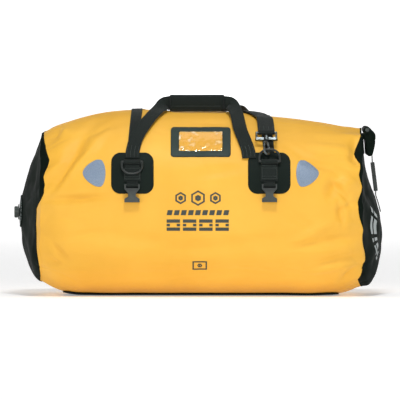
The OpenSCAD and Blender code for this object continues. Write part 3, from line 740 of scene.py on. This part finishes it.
def reflector_edges(cx, out, grow=0.0):
    """Left and right edge functions: a flat curve towards the bag's middle and a soft point away from it."""
    def v(z):
        return min(0.9995, abs(z - REFLECTOR_Z) / (REFLECTOR_HALF + grow))

    def flat(z):
        return cx - out * (9.8 + 10.2 * math.sqrt(1 - v(z) ** 2)) - out * grow

    def point(z):
        return cx + out * (-6.2 + 27 * (1 - v(z) ** 1.7) ** 0.75) + out * grow
    return (flat, point) if out > 0 else (point, flat)


def reflector_groove(cx, out, side):
    """Raised outline inside a reflector's edge."""
    left, right = reflector_edges(cx, out, -5.5)
    zs = [REFLECTOR_Z + 18.3 * math.sin(t) for t in np.linspace(-math.pi / 2, math.pi / 2, 26)]
    loop = [(left(z), z) for z in zs] + [(right(z), z) for z in reversed(zs)]
    return tube([fabric_point(x, z, 1.35, side) for x, z in loop], 0.4, 6, closed=True)


for name, side, out in PLACES:
    cx = REFLECTOR_X * out
    left, right = reflector_edges(cx, out)
    patch = on_side(198.6, 246.4, left, right, side, 0.2, 1.2, 40, 30, 1.2, fabric_point, 0.8)
    piece(f"reflective_patch_{name}", [patch, reflector_groove(cx, out, side)], REFLECTOR, "reflective_film",
        f"reflector_{name}")

WINDOW = (-54, 53.5, 251, 304)
PANE = (-38.5, 38, 262, 295.5)


def window_frame():
    """Frame around the clear pocket: rings of points from its outer edge to the pane's lip."""
    def outline(box, r):
        arcs = rounded_corners(*box, r, 9)
        pts = []
        for k, m in enumerate((16, 30, 16, 30)):
            pts += arcs[k] + between(arcs[k][-1], arcs[(k + 1) % 4][0], m)[1:]
        return pts
    outer, inner = outline(WINDOW, 5.5), outline(PANE, 1.6)
    rings = [(0, -0.8), (0.01, 0.8), (0.05, 1.55), (0.12, 1.75), (0.3, 1.7), (0.5, 1.65), (0.7, 1.7), (0.86, 1.8),
        (0.94, 1.55), (0.985, 1.0), (1, -0.4)]
    verts, uv = [], []
    for t, off in rings:
        for (ax, az), (bx, bz) in zip(outer, inner):
            x, z = ax + (bx - ax) * t, az + (bz - az) * t
            verts.append(fabric_point(x, z, off))
            uv.append((x, z))
    return verts, grid_faces(len(rings), len(outer), wrap_cols=True), uv


piece("pocket_frame", [window_frame()], FRAME, "tarpaulin_black", "window_frame")


def pane_point(x, z, off, side):
    ripple = 0.5 * noise.noise(Vector((x * 0.11, z * 0.16, 2.0)))
    ripple += 0.25 * noise.noise(Vector((x * 0.3, z * 0.35, 4.0)))
    return fabric_point(x, z, off + ripple, side)


pane = (PANE[0] - 1, PANE[1] + 1, PANE[2] - 1, PANE[3] + 1)
film = on_side(pane[2], pane[3], *rounded_box(*pane, 2), -1, 0.9, 0.3, 40, 70, place=pane_point, dip=0.3)
piece("pocket_window", [film], FILM, "clear_film", "window_film")


def ink(shapes, off=0.28):
    """Flat inked shape from a list of quads' corner points, split finely enough to follow the fabric."""
    verts, faces = [], []
    for quad in shapes:
        q = [np.array(c, float) for c in quad]
        n = max(2, int(max(np.linalg.norm(q[1] - q[0]), np.linalg.norm(q[2] - q[3])) / 2.5) + 1)
        m = max(2, int(max(np.linalg.norm(q[3] - q[0]), np.linalg.norm(q[2] - q[1])) / 2.5) + 1)
        base = len(verts)
        for j in range(m):
            for i in range(n):
                s, t = i / (n - 1), j / (m - 1)
                x, z = (q[0] * (1 - s) + q[1] * s) * (1 - t) + (q[3] * (1 - s) + q[2] * s) * t
                verts.append(fabric_point(x, z, off))
        faces += [tuple(base + k for k in f) for f in grid_faces(m, n)]
    return verts, faces


def hexagon_ring(cx, cz, outer, inner, turn=0):
    quads = []
    for k in range(6):
        (ca, sa), (cb, sb) = ((cosd(60 * j + turn), sind(60 * j + turn)) for j in (k, k + 1))
        quads.append([(cx + r * c, cz + r * s) for r, c, s in ((inner, ca, sa), (inner, cb, sb), (outer, cb, sb),
            (outer, ca, sa))])
    return quads


def bar(x0, x1, z0, z1, lean=0.0):
    return [(x0, z0), (x1, z0), (x1 + lean, z1), (x0 + lean, z1)]


PRINT_X, PRINT_LEFT = -5, -61
quads = []
for k, size in ((-1, 11), (0, 14), (1, 11)):
    quads += hexagon_ring(PRINT_X + 31 * k, 178.5, size, size - 3.4, 30)
    quads += hexagon_ring(PRINT_X + 31 * k, 178.5, size * 0.42, 0.4, 30)
for k in range(9):
    quads.append(bar(PRINT_LEFT + 12.6 * k, PRINT_LEFT + 9 + 12.6 * k, 148, 157, 2.0))
for k in range(4):
    x = PRINT_LEFT + 29 * k
    quads += [bar(x, x + 24, 134.5, 140.5), bar(x, x + 24, 120, 126), bar(x, x + 6, 128, 132.6),
        bar(x + 18, x + 24, 128, 132.6)]
piece("front_pattern", [ink(quads)], INK, "dark_ink", "front_print")
badge = [bar(-15, 11, 62.6, 65), bar(-15, 11, 47.4, 49.8), bar(-15, -12.4, 49.8, 62.6), bar(8.4, 11, 49.8, 62.6)]
badge += hexagon_ring(-2, 56.2, 4.6, 2.2, 0) + [bar(-2.9, -1.1, 53.4, 59)]
piece("round_mark", [ink(badge)], INK, "dark_ink", "capacity_badge")


def end_marks():
    """Pale bars that run down the right end's front."""
    parts = []
    for top, bottom in ((12, 6), (2, -12), (-17, -22), (-27, -43), (-48, -54)):
        for r0, r1 in ((0.63, 0.57), (0.53, 0.44)):
            verts = []
            for j in range(7):
                r = r0 + (r1 - r0) * j / 6
                for i in range(9):
                    angle = top + (bottom - top) * i / 8
                    p = dome_point(1, r, angle)
                    verts.append(p + np.array([0.55 + end_wrinkle(1, r, angle % 360, p), 0, 0]))
            parts.append((verts, grid_faces(7, 9)))
    return parts


piece("end_pattern", end_marks(), PALE_INK, "light_ink", "end_print")

# ---------------------------------------------------------------- webbing
HINGE_Z, FOOT_OFF = 248, 2.9
GRIP_Y, GRIP_Z, GRIP_LEFT, GRIP_RIGHT = -30, 347, -56, 42
THICK = 1.6  # of the handles' and the shoulder strap's webbing


def with_normal(p, off):
    n = section_normal(*p)
    return np.concatenate([p + off * n, n])


def on_face(x, z, off, side):
    return with_normal(face_point(x, z, 0, side), off)


def on_skin(x, angle, off):
    return with_normal(skin(x, angle), off)


def knot(*v):
    return np.array(v, float)


def stitch_row(path, x, lift, start, stop, pitch=3.2, length=2.2, radius=0.32):
    """Stitches along webbing at x across it, from start to stop in millimetres of its length."""
    lengths = path_lengths(path)

    def at(d):
        k = min(max(int(np.searchsorted(lengths, d)), 1), len(path) - 1)
        t = (d - lengths[k - 1]) / max(lengths[k] - lengths[k - 1], 1e-6)
        return tuple(path[k - 1][i] * (1 - t) + path[k][i] * t for i in range(3))
    parts = []
    d = start
    stop = min(stop, lengths[-1] - 1)
    while d + length < stop:
        pts = []
        for t, rise in ((0, -0.25), (0.25, 0.12), (0.75, 0.12), (1, -0.25)):
            p, across, facing = at(d + length * t)
            pts.append(p + across * x + facing * (lift + rise))
        parts.append(tube(pts, radius, 6))
        d += pitch
    return parts


def end_stitches(path, across, margin, reach):
    """Rows of stitches at both ends of a webbing path."""
    length = path_lengths(path)[-1]
    return [stitch for a, b in ((margin, reach), (length - reach, length - margin)) for x in across
        for stitch in stitch_row(path, x, THICK, a, b, 3.0)]


def thread(name, rows, body="bag"):
    piece(name, rows, THREAD, "webbing_black", body=body)


def webbing(name, parts, *nodes, body="bag", material=WEBBING):
    return piece(name, parts, material, "webbing_black", *nodes, body=body)


def fabric_loop(centre, inner, width, thick, turn_z=0.0):
    """Webbing wrapped round a bar. The bar runs along X, or turned about Z by an angle in degrees."""
    verts, uv = [], []
    half, n = width / 2, 36
    profile = [(-half + 0.4, 0), (-half, thick * 0.5), (-half + 0.4, thick)]
    profile += [(x, thick + 0.05) for x in np.linspace(-half + 1, half - 1, 5)]
    profile += [(half - 0.4, thick), (half, thick * 0.5), (half - 0.4, 0)]
    c, s = cosd(turn_z), sind(turn_z)
    for k in range(n):
        a = 2 * math.pi * k / n
        for x, h in profile:
            r = inner + h
            y, z = r * math.cos(a), r * math.sin(a)
            verts.append(np.array(centre) + np.array([x * c - y * s, x * s + y * c, z]))
            uv.append((x + (100 if h > 0.3 else 0), a * (inner + thick)))
    return verts, grid_faces(n, len(profile), True, True), uv


def over_strap(s):
    """Webbing over the top, from under one patch to under the other, drawn in a little at the crest."""
    x0 = s * PATCH_X
    mid, tall = section(x0)[:2]
    start = math.degrees(math.asin(((PATCH_HIGH - 1.0 - mid) / tall) ** (ROUND_TOP / 2)))
    lean_in, steps, thick = 7, 60, 1.5
    knots = []
    for k in range(steps + 1):
        a = start + (180 - 2 * start) * k / steps
        x = x0 - s * lean_in * (1 - (abs(a - 90) / (90 - start)) ** 2)
        p = fabric_skin(x, a, 0.35)
        knots.append(np.concatenate([p, section_normal(*skin(x, a))]))
    path = web_path(knots, 1)
    name = "right" if s > 0 else "left"
    webbing(f"over_strap_{name}", [web(path, 20, thick)], f"over_strap_{name}")
    thread(f"over_strap_stitching_{name}", [r for x in (-8, 8) for r in stitch_row(path, x, thick, 2, 400, 3.4)])


for s in (-1, 1):
    over_strap(s)

# Handles, through the same knots as the solid parts. The webbing turns where it leaves the grip.
FRONT_LEFT = [on_face(-122, HINGE_Z, FOOT_OFF, -1), on_face(-121, 262, 3, -1), on_face(-114, 284, 4, -1),
    on_face(-99, 306, 5.5, -1), on_face(-84, 322, 7, -1), knot(-74, -51, 337, 0, -0.75, 0.66),
    knot(-66, -35, 345, 0, -1, 0.1)]
FRONT_RIGHT = [knot(54, -35, 345, 0, -1, 0.1), knot(61, -56, 335, 0, -0.75, 0.66), on_face(65, 317, 6, -1),
    on_face(70, 297, 5, -1), on_face(77, 280, 4, -1), on_face(84, 262, 3, -1), on_face(86, HINGE_Z, FOOT_OFF, -1)]
REAR_LEFT = [on_face(-86, HINGE_Z, FOOT_OFF, 1), on_face(-84, 262, 3, 1), on_face(-79, 282, 4.5, 1),
    on_face(-76, 302, 6.6, 1), on_face(-75, 320, 7, 1), knot(-72, 34, 339, 0, 0.25, 0.97),
    knot(-67, 8, 341, 0, 0.25, 0.97), knot(-60, -14, 345, 0, 0.8, 0.6)]
REAR_RIGHT = [knot(47, -14, 345, 0, 0.8, 0.6), knot(57, 8, 341, 0, 0.25, 0.97), knot(68, 34, 338, 0, 0.25, 0.97),
    on_face(82, 317, 6, 1), on_face(98, 299, 5, 1), on_face(112, 278, 4, 1), on_face(121, 261, 3, 1),
    on_face(122, HINGE_Z, FOOT_OFF, 1)]


def straight(y, facing):
    xs = (GRIP_LEFT - 1, GRIP_LEFT + 10, 0, GRIP_RIGHT - 10, GRIP_RIGHT + 1)
    return [knot(x, y, GRIP_Z, 0, facing, 0) for x in xs]


HANDLES = {"front": web_path(FRONT_LEFT + straight(GRIP_Y, -1) + FRONT_RIGHT, 12),
    "rear": web_path(REAR_LEFT + straight(GRIP_Y + 7.5, 1) + REAR_RIGHT, 12)}
for name, path in HANDLES.items():
    webbing(f"{name}_handle_webbing", [web(path, 25, THICK)], f"{name}_handle_strap", body=f"{name}_handle")
for name, path in HANDLES.items():
    thread(f"{name}_handle_stitching", end_stitches(path, (-10, -3.4, 3.4, 10), 2, 26), f"{name}_handle")

# ---------------------------------------------------------------- padded grip
PAD_SHIFT = 0.8


def grip_shape():
    """Closed sleeve: a padded wrap whose flap overlaps along the front, near the bottom."""
    half_tall, half_thick = 15.0, 6.0
    around, along = 64, 44
    verts, uv = [], []
    for j in range(along + 1):
        t = j / along
        x = GRIP_LEFT + (GRIP_RIGHT - GRIP_LEFT) * t
        end = edge_profile(min(t, 1 - t) * (GRIP_RIGHT - GRIP_LEFT), 2.2)
        for i in range(around):
            a = 2 * math.pi * i / around
            c, s = math.cos(a), math.sin(a)
            z = half_tall * power(s, 0.62) * (0.94 + 0.06 * end)
            y = half_thick * power(c, 0.8) * (0.62 + 0.38 * end)
            if c < 0:
                y -= 0.9 / (1 + math.exp(-(-7.5 - z) * 2.2)) * end
            y += 0.35 * noise.noise(Vector((x * 0.06, z * 0.12, c * 2)))
            verts.append((x, GRIP_Y - PAD_SHIFT + y, GRIP_Z + z))
            uv.append((x, a * 10))
    faces = grid_faces(along + 1, around, wrap_cols=True)
    base = len(verts)
    for j, inwards in ((0, 1.2), (along, -1.2)):
        for x, y, z in verts[j * around:(j + 1) * around]:
            verts.append((x + inwards, GRIP_Y - PAD_SHIFT + (y - GRIP_Y + PAD_SHIFT) * 0.3,
                GRIP_Z + (z - GRIP_Z) * 0.86))
    uv += [(0, 0)] * 2 * around
    for side_row, start in ((0, base), (along * around, base + around)):
        ring = [(i, (i + 1) % around) for i in range(around)]
        faces += [(side_row + i, side_row + k, start + k, start + i) for i, k in ring]
    faces += [tuple(base + i for i in range(around)), tuple(base + around + i for i in range(around))]
    return verts, faces, uv


def inflate(obj, cap_mm, pressure=3.0, frames=14):
    """Short cloth inflation of a padded piece, with a limit on how far a point may move."""
    mesh = obj.data
    before = np.array([v.co[:] for v in mesh.vertices])
    cloth = obj.modifiers.new("cloth", "CLOTH")
    cloth.settings.quality = 5
    cloth.settings.mass = 0.2
    cloth.settings.use_pressure = True
    cloth.settings.uniform_pressure_force = pressure
    cloth.settings.tension_stiffness = 12
    cloth.settings.bending_stiffness = 0.6
    cloth.settings.effector_weights.gravity = 0
    cloth.point_cache.frame_end = frames
    for f in range(1, frames + 1):
        scene.frame_set(f)
    depsgraph = bpy.context.evaluated_depsgraph_get()
    after = np.array([v.co[:] for v in obj.evaluated_get(depsgraph).data.vertices])
    obj.modifiers.remove(cloth)
    scene.frame_set(1)
    if len(after) != len(before) or not np.isfinite(after).all():
        return
    move = after - before
    size = np.linalg.norm(move, axis=1, keepdims=True)
    move *= np.minimum(1.0, cap_mm * MM / np.maximum(size, 1e-9))
    for v, co in zip(mesh.vertices, before + move):
        v.co = co


verts, faces, uv = grip_shape()
grip = add_object("grip_pad", verts, faces, "front_handle", uv=uv)
inflate(grip, 0.9)
dress(grip, GRIP, "grip_fabric", "grip_wrap")
grip_rows = []
for z, y in ((12.6, -5.2), (-5.6, -6.9), (-12.8, -5.9)):
    line_path = [(knot(x, GRIP_Y - PAD_SHIFT + y, GRIP_Z + z), knot(0, 0, 1), knot(0, -1, 0))
        for x in np.linspace(GRIP_LEFT + 3, GRIP_RIGHT - 3, 30)]
    grip_rows += stitch_row(line_path, 0, 0.1, 0, 200, 3.2)
thread("grip_stitching", grip_rows, "front_handle")

# ---------------------------------------------------------------- hardware tabs on the patches
RING_BAR_Z, RING_OFF, BUCKLE_BAR_Z, BUCKLE_OFF = 240, 8.3, 200, 7.6


def tab_sheet(x, side, z0, z1, half, off, thick):
    verts, faces, uv = on_side(z0, z1, lambda z: x - half, lambda z: x + half, side, off, thick, 22, 20, 0.9,
        dip=0.0)
    return verts, faces, [(u - x + 100, v) for u, v in uv]


def tab_row(points, side, across):
    """Stitches on a ring's tab, through x, z points of the side."""
    line_path = [(face_point(x, z, 4.95, side), knot(*across), section_normal(*face_point(x, z, 0, side)))
        for x, z in points]
    return stitch_row(line_path, 0, 0.12, 0, 60, 2.8, 2.0, 0.34)


for name, side, s in PLACES:
    x = s * PATCH_X
    loop = fabric_loop(face_point(x, RING_BAR_Z, RING_OFF, side), 2.3, 30, THICK)
    webbing(f"ring_tab_webbing_{name}", [loop, tab_sheet(x, side, 208, 240.5, 15, 1.6, 3.4)], f"ring_tab_{name}")
    rows = []
    for z in (211.5, 216, 230, 234):
        rows += tab_row([(x + t, z) for t in np.linspace(-13, 13, 12)], side, (0, 0, 1))
    for dx in (-13, 13):
        rows += tab_row([(x + dx, z) for z in np.linspace(211.5, 234, 12)], side, (1, 0, 0))
    thread(f"ring_tab_stitching_{name}", rows)
    loop = fabric_loop(face_point(x, BUCKLE_BAR_Z, BUCKLE_OFF, side), 1.9, 20, 1.4)
    webbing(f"buckle_tab_webbing_{name}", [loop, tab_sheet(x, side, 198, 207.6, 10, 1.6, 2.6)],
        f"buckle_tab_{name}")

# ---------------------------------------------------------------- shoulder strap
HOOK_X, HOOK_LEAN, RING_H, RAISED_LEAN, EYE_HIGH = 117, math.radians(34), 22, math.radians(15), 36


def strap_bar(side):
    """Middle of the bar of a hook's eye, which the strap's end goes round."""
    bar_at = face_point(-side * PATCH_X, RING_BAR_Z, RING_OFF, side)
    bow = bar_at + RING_H * np.array([0, -side * math.sin(RAISED_LEAN), math.cos(RAISED_LEAN)])
    return np.array([-side * HOOK_X, bow[1] - side * EYE_HIGH * math.sin(HOOK_LEAN),
        bow[2] + EYE_HIGH * math.cos(HOOK_LEAN)])


def strap_start(side):
    n = unit([0, side * 0.27, 0.96])
    return np.concatenate([strap_bar(side) + 2.3 * n, n])


# Way over the bag: x, angle round it and height off it.
CROSSING = [(114, 66, 7), (109, 74, 3.2), (99, 82, 2.8), (80, 90, 2.8), (50, 97, 2.8), (0, 105, 2.8),
    (-55, 112, 2.8), (-90, 114, 3.2), (-112, 115, 7)]
strap_path = web_path([strap_start(-1)] + [on_skin(*k) for k in CROSSING] + [strap_start(1)], 14)
webbing("shoulder_webbing", [web(strap_path, 30, THICK)] + [fabric_loop(strap_bar(side), 2.3, 30, THICK)
    for side in (-1, 1)], "shoulder_strap", material=SHOULDER)
thread("shoulder_stitching", end_stitches(strap_path, (-12.5, -4.2, 4.2, 12.5), 4, 24))

# ---------------------------------------------------------------- hardware kept from the solid parts
def keep(node, material, bevel=0.0, segments=2):
    """Give a solid part that stays in the picture its material, and round its edges by bevel millimetres."""
    obj = NODES[node]
    if bevel:
        m = obj.modifiers.new("edge", "BEVEL")
        m.width, m.segments, m.limit_method, m.angle_limit = bevel * MM, segments, "ANGLE", math.radians(35)
        m.harden_normals = False
    paint(obj, material)


for name, _, _ in PLACES:
    keep(f"ring_{name}", PLASTIC)
    keep(f"buckle_{name}", PLASTIC, 0.5, 3)
for face in ("front", "rear"):
    keep(f"eye_{face}", METAL)
    keep(f"hook_{face}", METAL)
    keep(f"gate_{face}", METAL, 0.3)
for node in ("base", "nut", "cap"):
    keep(f"valve_{node}", VALVE, 0.35)
for node, material, bevel, segments in (("strap_slider", PLASTIC, 0.4, 3), ("closure_socket", PLASTIC, 0.6, 3),
        ("closure_plug", PLASTIC, 0.6, 3), ("closure_batten", PLASTIC, 0.3, 2)):
    keep(node, material, bevel, segments)

# ---------------------------------------------------------------- end mouth and base
MOUTH = (50, 258, 284, 5)  # half width, bottom, top and corner radius


def panel_x(y, z):
    """Outer face of the right end panel at y, z."""
    centre = DOMES[1][2]
    mid, tall, deep = section(X_RIGHT)
    low, high = 0.02, 1.0
    for _ in range(24):
        r = (low + high) / 2
        zz = centre + (z - centre) / r - mid
        n = ROUND_TOP if zz > 0 else ROUND_LOW
        outside = abs(y / r / deep) ** n + abs(zz / tall) ** n > 1
        low, high = (r, high) if outside else (low, r)
    zz = centre + (z - centre) / r
    angle = math.degrees(math.atan2(power((zz - mid) / tall, ROUND_TOP / 2), power(-y / r / deep, ROUND_TOP / 2)))
    return dome_point(1, r, angle)[0]


def mouth_outline(grow):
    half, low, high, r = MOUTH[0] + grow, MOUTH[1] - grow, MOUTH[2] + grow, MOUTH[3] + grow
    pts = [p for arc in rounded_corners(-half, half, low, high, r, 12) for p in arc]
    out = []
    for a, b in zip(pts, pts[1:] + pts[:1]):
        out += between(a, b, max(1, int(math.hypot(b[0] - a[0], b[1] - a[1]) / 5)))
    return out


def mouth_sleeve():
    """Lining of the mouth and its lip. Each row has its outline's growth, its x, and where x is None its lift
    over the panel."""
    rows = [(-0.4, 268, 0), (-0.5, 275, 0), (-0.4, 282, 0), (-0.3, 289, 0), (0.8, None, 1.2), (2.6, None, 1.3),
        (3.4, None, 0.5), (2.0, None, 2.4), (-2.0, None, 2.6), (-2.2, 289, 0), (-2.3, 282, 0), (-2.4, 275, 0),
        (-2.3, 268, 0)]
    verts = []
    for k, (grow, x, lift) in enumerate(rows):
        for y, z in mouth_outline(grow):
            w = 0.5 * noise.noise(Vector((y * 0.05, z * 0.08, k * 0.3)))
            verts.append((panel_x(y, z) + lift + 0.3, y, z + w) if x is None else (x, y, z))
    cols = len(verts) // len(rows)
    return verts, grid_faces(len(rows), cols, wrap_rows=True, wrap_cols=True)


panel = bpy.data.objects["end_fabric_right"]
bm = bmesh.new()
bm.from_mesh(panel.data)
gone = []
for f in bm.faces:
    c = f.calc_center_median() / MM
    if c.x > X_RIGHT - 1 and abs(c.y) < MOUTH[0] - 0.5 and MOUTH[1] + 0.5 < c.z < MOUTH[2] - 0.5:
        gone.append(f)
bmesh.ops.delete(bm, geom=gone, context="FACES")
bm.to_mesh(panel.data)
bm.free()
piece("mouth_edge", [mouth_sleeve()], BLACK, "tarpaulin_black", "mouth_binding")


def base_sheet():
    """Sheet under the bag with rounded corners, curled up to the bag's underside at its ends."""
    rows, cols, half_x, half_y, r = 41, 31, 249, 64, 20
    verts = []
    for top in (False, True):
        for j in range(rows):
            for i in range(cols):
                u, v = -1 + 2 * j / (rows - 1), -1 + 2 * i / (cols - 1)
                x, y = u * half_x, v * half_y
                cx, cy = max(0, abs(x) - half_x + r), max(0, abs(y) - half_y + r)
                reach = math.hypot(cx, cy)
                if reach > r:
                    x -= math.copysign(cx * (1 - r / reach), x)
                    y -= math.copysign(cy * (1 - r / reach), y)
                edge = min(1 - abs(u), (1 - abs(v)) * 0.26) * half_x
                mid, tall, deep = section(x)
                under = mid - tall * (1 - abs(y / deep) ** ROUND_LOW) ** (1 / ROUND_LOW)
                verts.append((x, y, max(0.0, under - 2.0) + (0.9 + edge_profile(edge, 2) if top else 0)))
    m = rows * cols
    faces = grid_faces(rows, cols) + [tuple(m + i for i in f) for f in grid_faces(rows, cols)]
    rim = list(range(cols)) + [j * cols + cols - 1 for j in range(1, rows)]
    rim += [(rows - 1) * cols + i for i in reversed(range(cols - 1))]
    rim += [j * cols for j in reversed(range(1, rows - 1))]
    faces += [(a, b, m + b, m + a) for a, b in zip(rim, rim[1:] + rim[:1])]
    return verts, faces


piece("base_panel", [base_sheet()], BLACK, "tarpaulin_black", "base_patch")

# ---------------------------------------------------------------- valve patch
def valve_ring():
    radii = [0.22, 0.2, 0.18, 0.16, 0.14, 0.12, 0.1]
    verts, n = [], 96
    for off in (2.0, 0.4):
        for r in (radii if off > 1 else radii[::-1]):
            soft = 0.7 if r in (0.22, 0.1) and off > 1 else 0.0
            for i in range(n):
                verts.append(dome_point(-1, r, 360 * i / n, off - soft))
    return verts, grid_faces(2 * len(radii), n, wrap_rows=True, wrap_cols=True)


piece("valve_surround", [valve_ring()], PATCH, "tarpaulin_black", "valve_patch")
STITCHES, STITCH_R = 34, 0.205
rows = []
for k in range(STITCHES):
    a = 360 * k / STITCHES
    arch = ((0, -0.3), (1.6, 0.25), (4.8, 0.25), (6.4, -0.3))
    rows.append(tube([dome_point(-1, STITCH_R, a + d, 2.0 + h) for d, h in arch], 0.45, 6))
piece("valve_stitching", rows, PALE_INK, "light_ink")

# ---------------------------------------------------------------- rolled closure
BATTEN_X, BATTEN_Z = 299.0, 299.0
ROLL_X, ROLL_Z, ROLL_R = 307, 288, 8.0
CLIP_LEAN = math.radians(7)


def clip_at(h):
    """Point of the clip's middle line, h above its lower end."""
    return np.array([316.3 - h * math.sin(CLIP_LEAN), 0, 188 + h * math.cos(CLIP_LEAN)])


def roll_radius(angle):
    """Outline of the roll about its thick middle: a fat roll with the fold over the batten and the fold below."""
    d = np.array([math.cos(angle), math.sin(angle)])
    best = 0.0
    for cx, cz, r1 in ((BATTEN_X - ROLL_X, BATTEN_Z - ROLL_Z, 6.2), (304 - ROLL_X, 261 - ROLL_Z, 5.2)):
        for t in np.linspace(0, 1, 24):
            c, r = np.array([cx, cz]) * t, ROLL_R + (r1 - ROLL_R) * t
            b = float(np.dot(c, d))
            disc = r * r - (float(np.dot(c, c)) - b * b)
            if disc > 0:
                best = max(best, b + math.sqrt(disc))
    inward = max(0.0, -d[0]) ** 2 * (1 if d[1] < 0.2 else 0.3)
    return best + 3.6 * inward + 4.5 * max(0.0, -d[1]) ** 6


def roll_half(side):
    """Half of the roll, from beside the webbing to its end."""
    verts, uv, n, m = [], [], 96, 34
    near, far = 16.3, 70
    turns = [2 * math.pi * i / n for i in range(n)]
    outline = [roll_radius(a) for a in turns]
    for j in range(m + 1):
        t = j / m
        y = side * (near + (far - near) * t)
        soft = edge_profile(min(t, 1 - t) * 54, 3)
        for a, r in zip(turns, outline):
            r *= 0.88 + 0.12 * soft
            low_side = 1 if math.sin(a) < 0.3 else 0.2
            r += 3.4 * edge_profile(abs(y) - 56, 10) * max(0.0, -math.cos(a)) ** 1.5 * low_side
            r += 0.9 * noise.noise(Vector((y * 0.05, math.cos(a) * 1.6, math.sin(a) * 1.6 + side))) - 0.5
            groove = 1.1 * math.exp(-((a - 3.5 - 0.004 * y) / 0.10) ** 2)
            r -= groove + 0.9 * math.exp(-((a - 5.2 + 0.003 * y) / 0.08) ** 2)
            verts.append((ROLL_X + r * math.cos(a), y, ROLL_Z + r * math.sin(a)))
            uv.append((y, a * 12))
    faces = grid_faces(m + 1, n, wrap_cols=True)
    for j, sign in ((0, -1), (m, 1)):
        ring = [j * n + i for i in range(n)]
        for step in range(1, 9):
            f = 1 - step / 9.5
            start = len(verts)
            for a, (x, y, z) in zip(turns, verts[j * n:(j + 1) * n]):
                lip = 0.7 * math.sin(f * 26 + a)
                verts.append((ROLL_X + (x - ROLL_X) * f, y + side * sign * -0.2 + lip * 0.8,
                    ROLL_Z + (z - ROLL_Z) * f))
                uv.append((y, a * 12))
            faces += [(ring[i], ring[(i + 1) % n], start + (i + 1) % n, start + i) for i in range(n)]
            ring = [start + i for i in range(n)]
        faces.append(tuple(ring))
    return verts, faces, uv


piece("rolled_fabric", [roll_half(-1), roll_half(1)], BLACK, "tarpaulin_black", "closure_roll", body="rolled_end")


def strap_along(points):
    path = []
    for k, p in enumerate(points):
        along = unit(points[min(k + 1, len(points) - 1)] - points[max(k - 1, 0)])
        path.append((p, np.array([0, 1.0, 0]), np.cross([0, 1.0, 0], along)))
    return path


IN_FRONT = np.array([-0.8, 0, 0])
upper = catmull([clip_at(47) + IN_FRONT, clip_at(54) + IN_FRONT, (308.2, 0, 255), (305.6, 0, 275),
    (303.0, 0, 290), (302.9, 0, 299)], 8)
strap = webbing("closure_webbing_upper", [web(strap_along(upper), 20, THICK),
    fabric_loop((BATTEN_X, 0, BATTEN_Z), 3.8, 20, THICK, 90)], "closure_strap_upper", body=None)
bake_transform(strap)
lower = catmull([dome_point(1, r, 90, 0.7) for r in (0.21, 0.25, 0.29, 0.33, 0.37)] + [clip_at(0.5) + IN_FRONT,
    clip_at(5) + IN_FRONT], 6)
webbing("closure_webbing_lower", [web(strap_along(lower), 20, THICK)], "closure_strap_lower")

# ---------------------------------------------------------------- floor and light
WORLD = 0.21
# Name, place, size and watts.
LAMPS = (("key", (0.15, -1.7, 2.6), 0.45, 41), ("fill", (-0.4, -3.2, 0.9), 1.6, 12),
    ("top", (0.0, 0.3, 2.8), 1.4, 12))


def glowing(name, near, far):
    """White surface that glows by its distance from the bag."""
    s = Shader(name)
    reach = s.node("ShaderNodeVectorMath", {0: s.coords.outputs["Object"]}, operation="LENGTH").outputs["Value"]
    glow = s.node("ShaderNodeMapRange", {"Value": reach, "From Min": 0.8, "From Max": 5.0, "To Min": near,
        "To Max": far})
    s.set(Base_Color=(0.9, 0.9, 0.9, 1), Roughness=0.9, Specular_IOR_Level=0.0, Emission_Color=(1, 1, 1, 1),
        Emission_Strength=glow.outputs["Result"])
    return s.material


def room():
    far, tall = 60000, 16000
    corners = [(-far, -far), (far, -far), (far, far), (-far, far)]
    floor = add_object("floor", [(x, y, 0) for x, y in corners], [(0, 1, 2, 3)], None)
    paint(floor, glowing("floor", 0.3, 0.85))
    walls = add_object("backdrop", [(x, y, z) for z in (0, tall) for x, y in corners],
        [(k, (k + 1) % 4, (k + 1) % 4 + 4, k + 4) for k in range(4)], None)
    paint(walls, glowing("backdrop", 1.0, 1.0))
    world = bpy.data.worlds.new("world")
    scene.world = world
    world.use_nodes = True
    sky = world.node_tree.nodes["Background"].inputs
    sky["Color"].default_value = (1, 1, 1, 1)
    sky["Strength"].default_value = WORLD
    for name, place, size, watts in LAMPS:
        data = bpy.data.lights.new(name, "AREA")
        data.size, data.energy = size, watts
        lamp = bpy.data.objects.new(name, data)
        scene.collection.objects.link(lamp)
        lamp.location = place
        lamp.rotation_euler = (Vector((0, 0, 0.15)) - Vector(place)).to_track_quat("-Z", "Y").to_euler()


room()
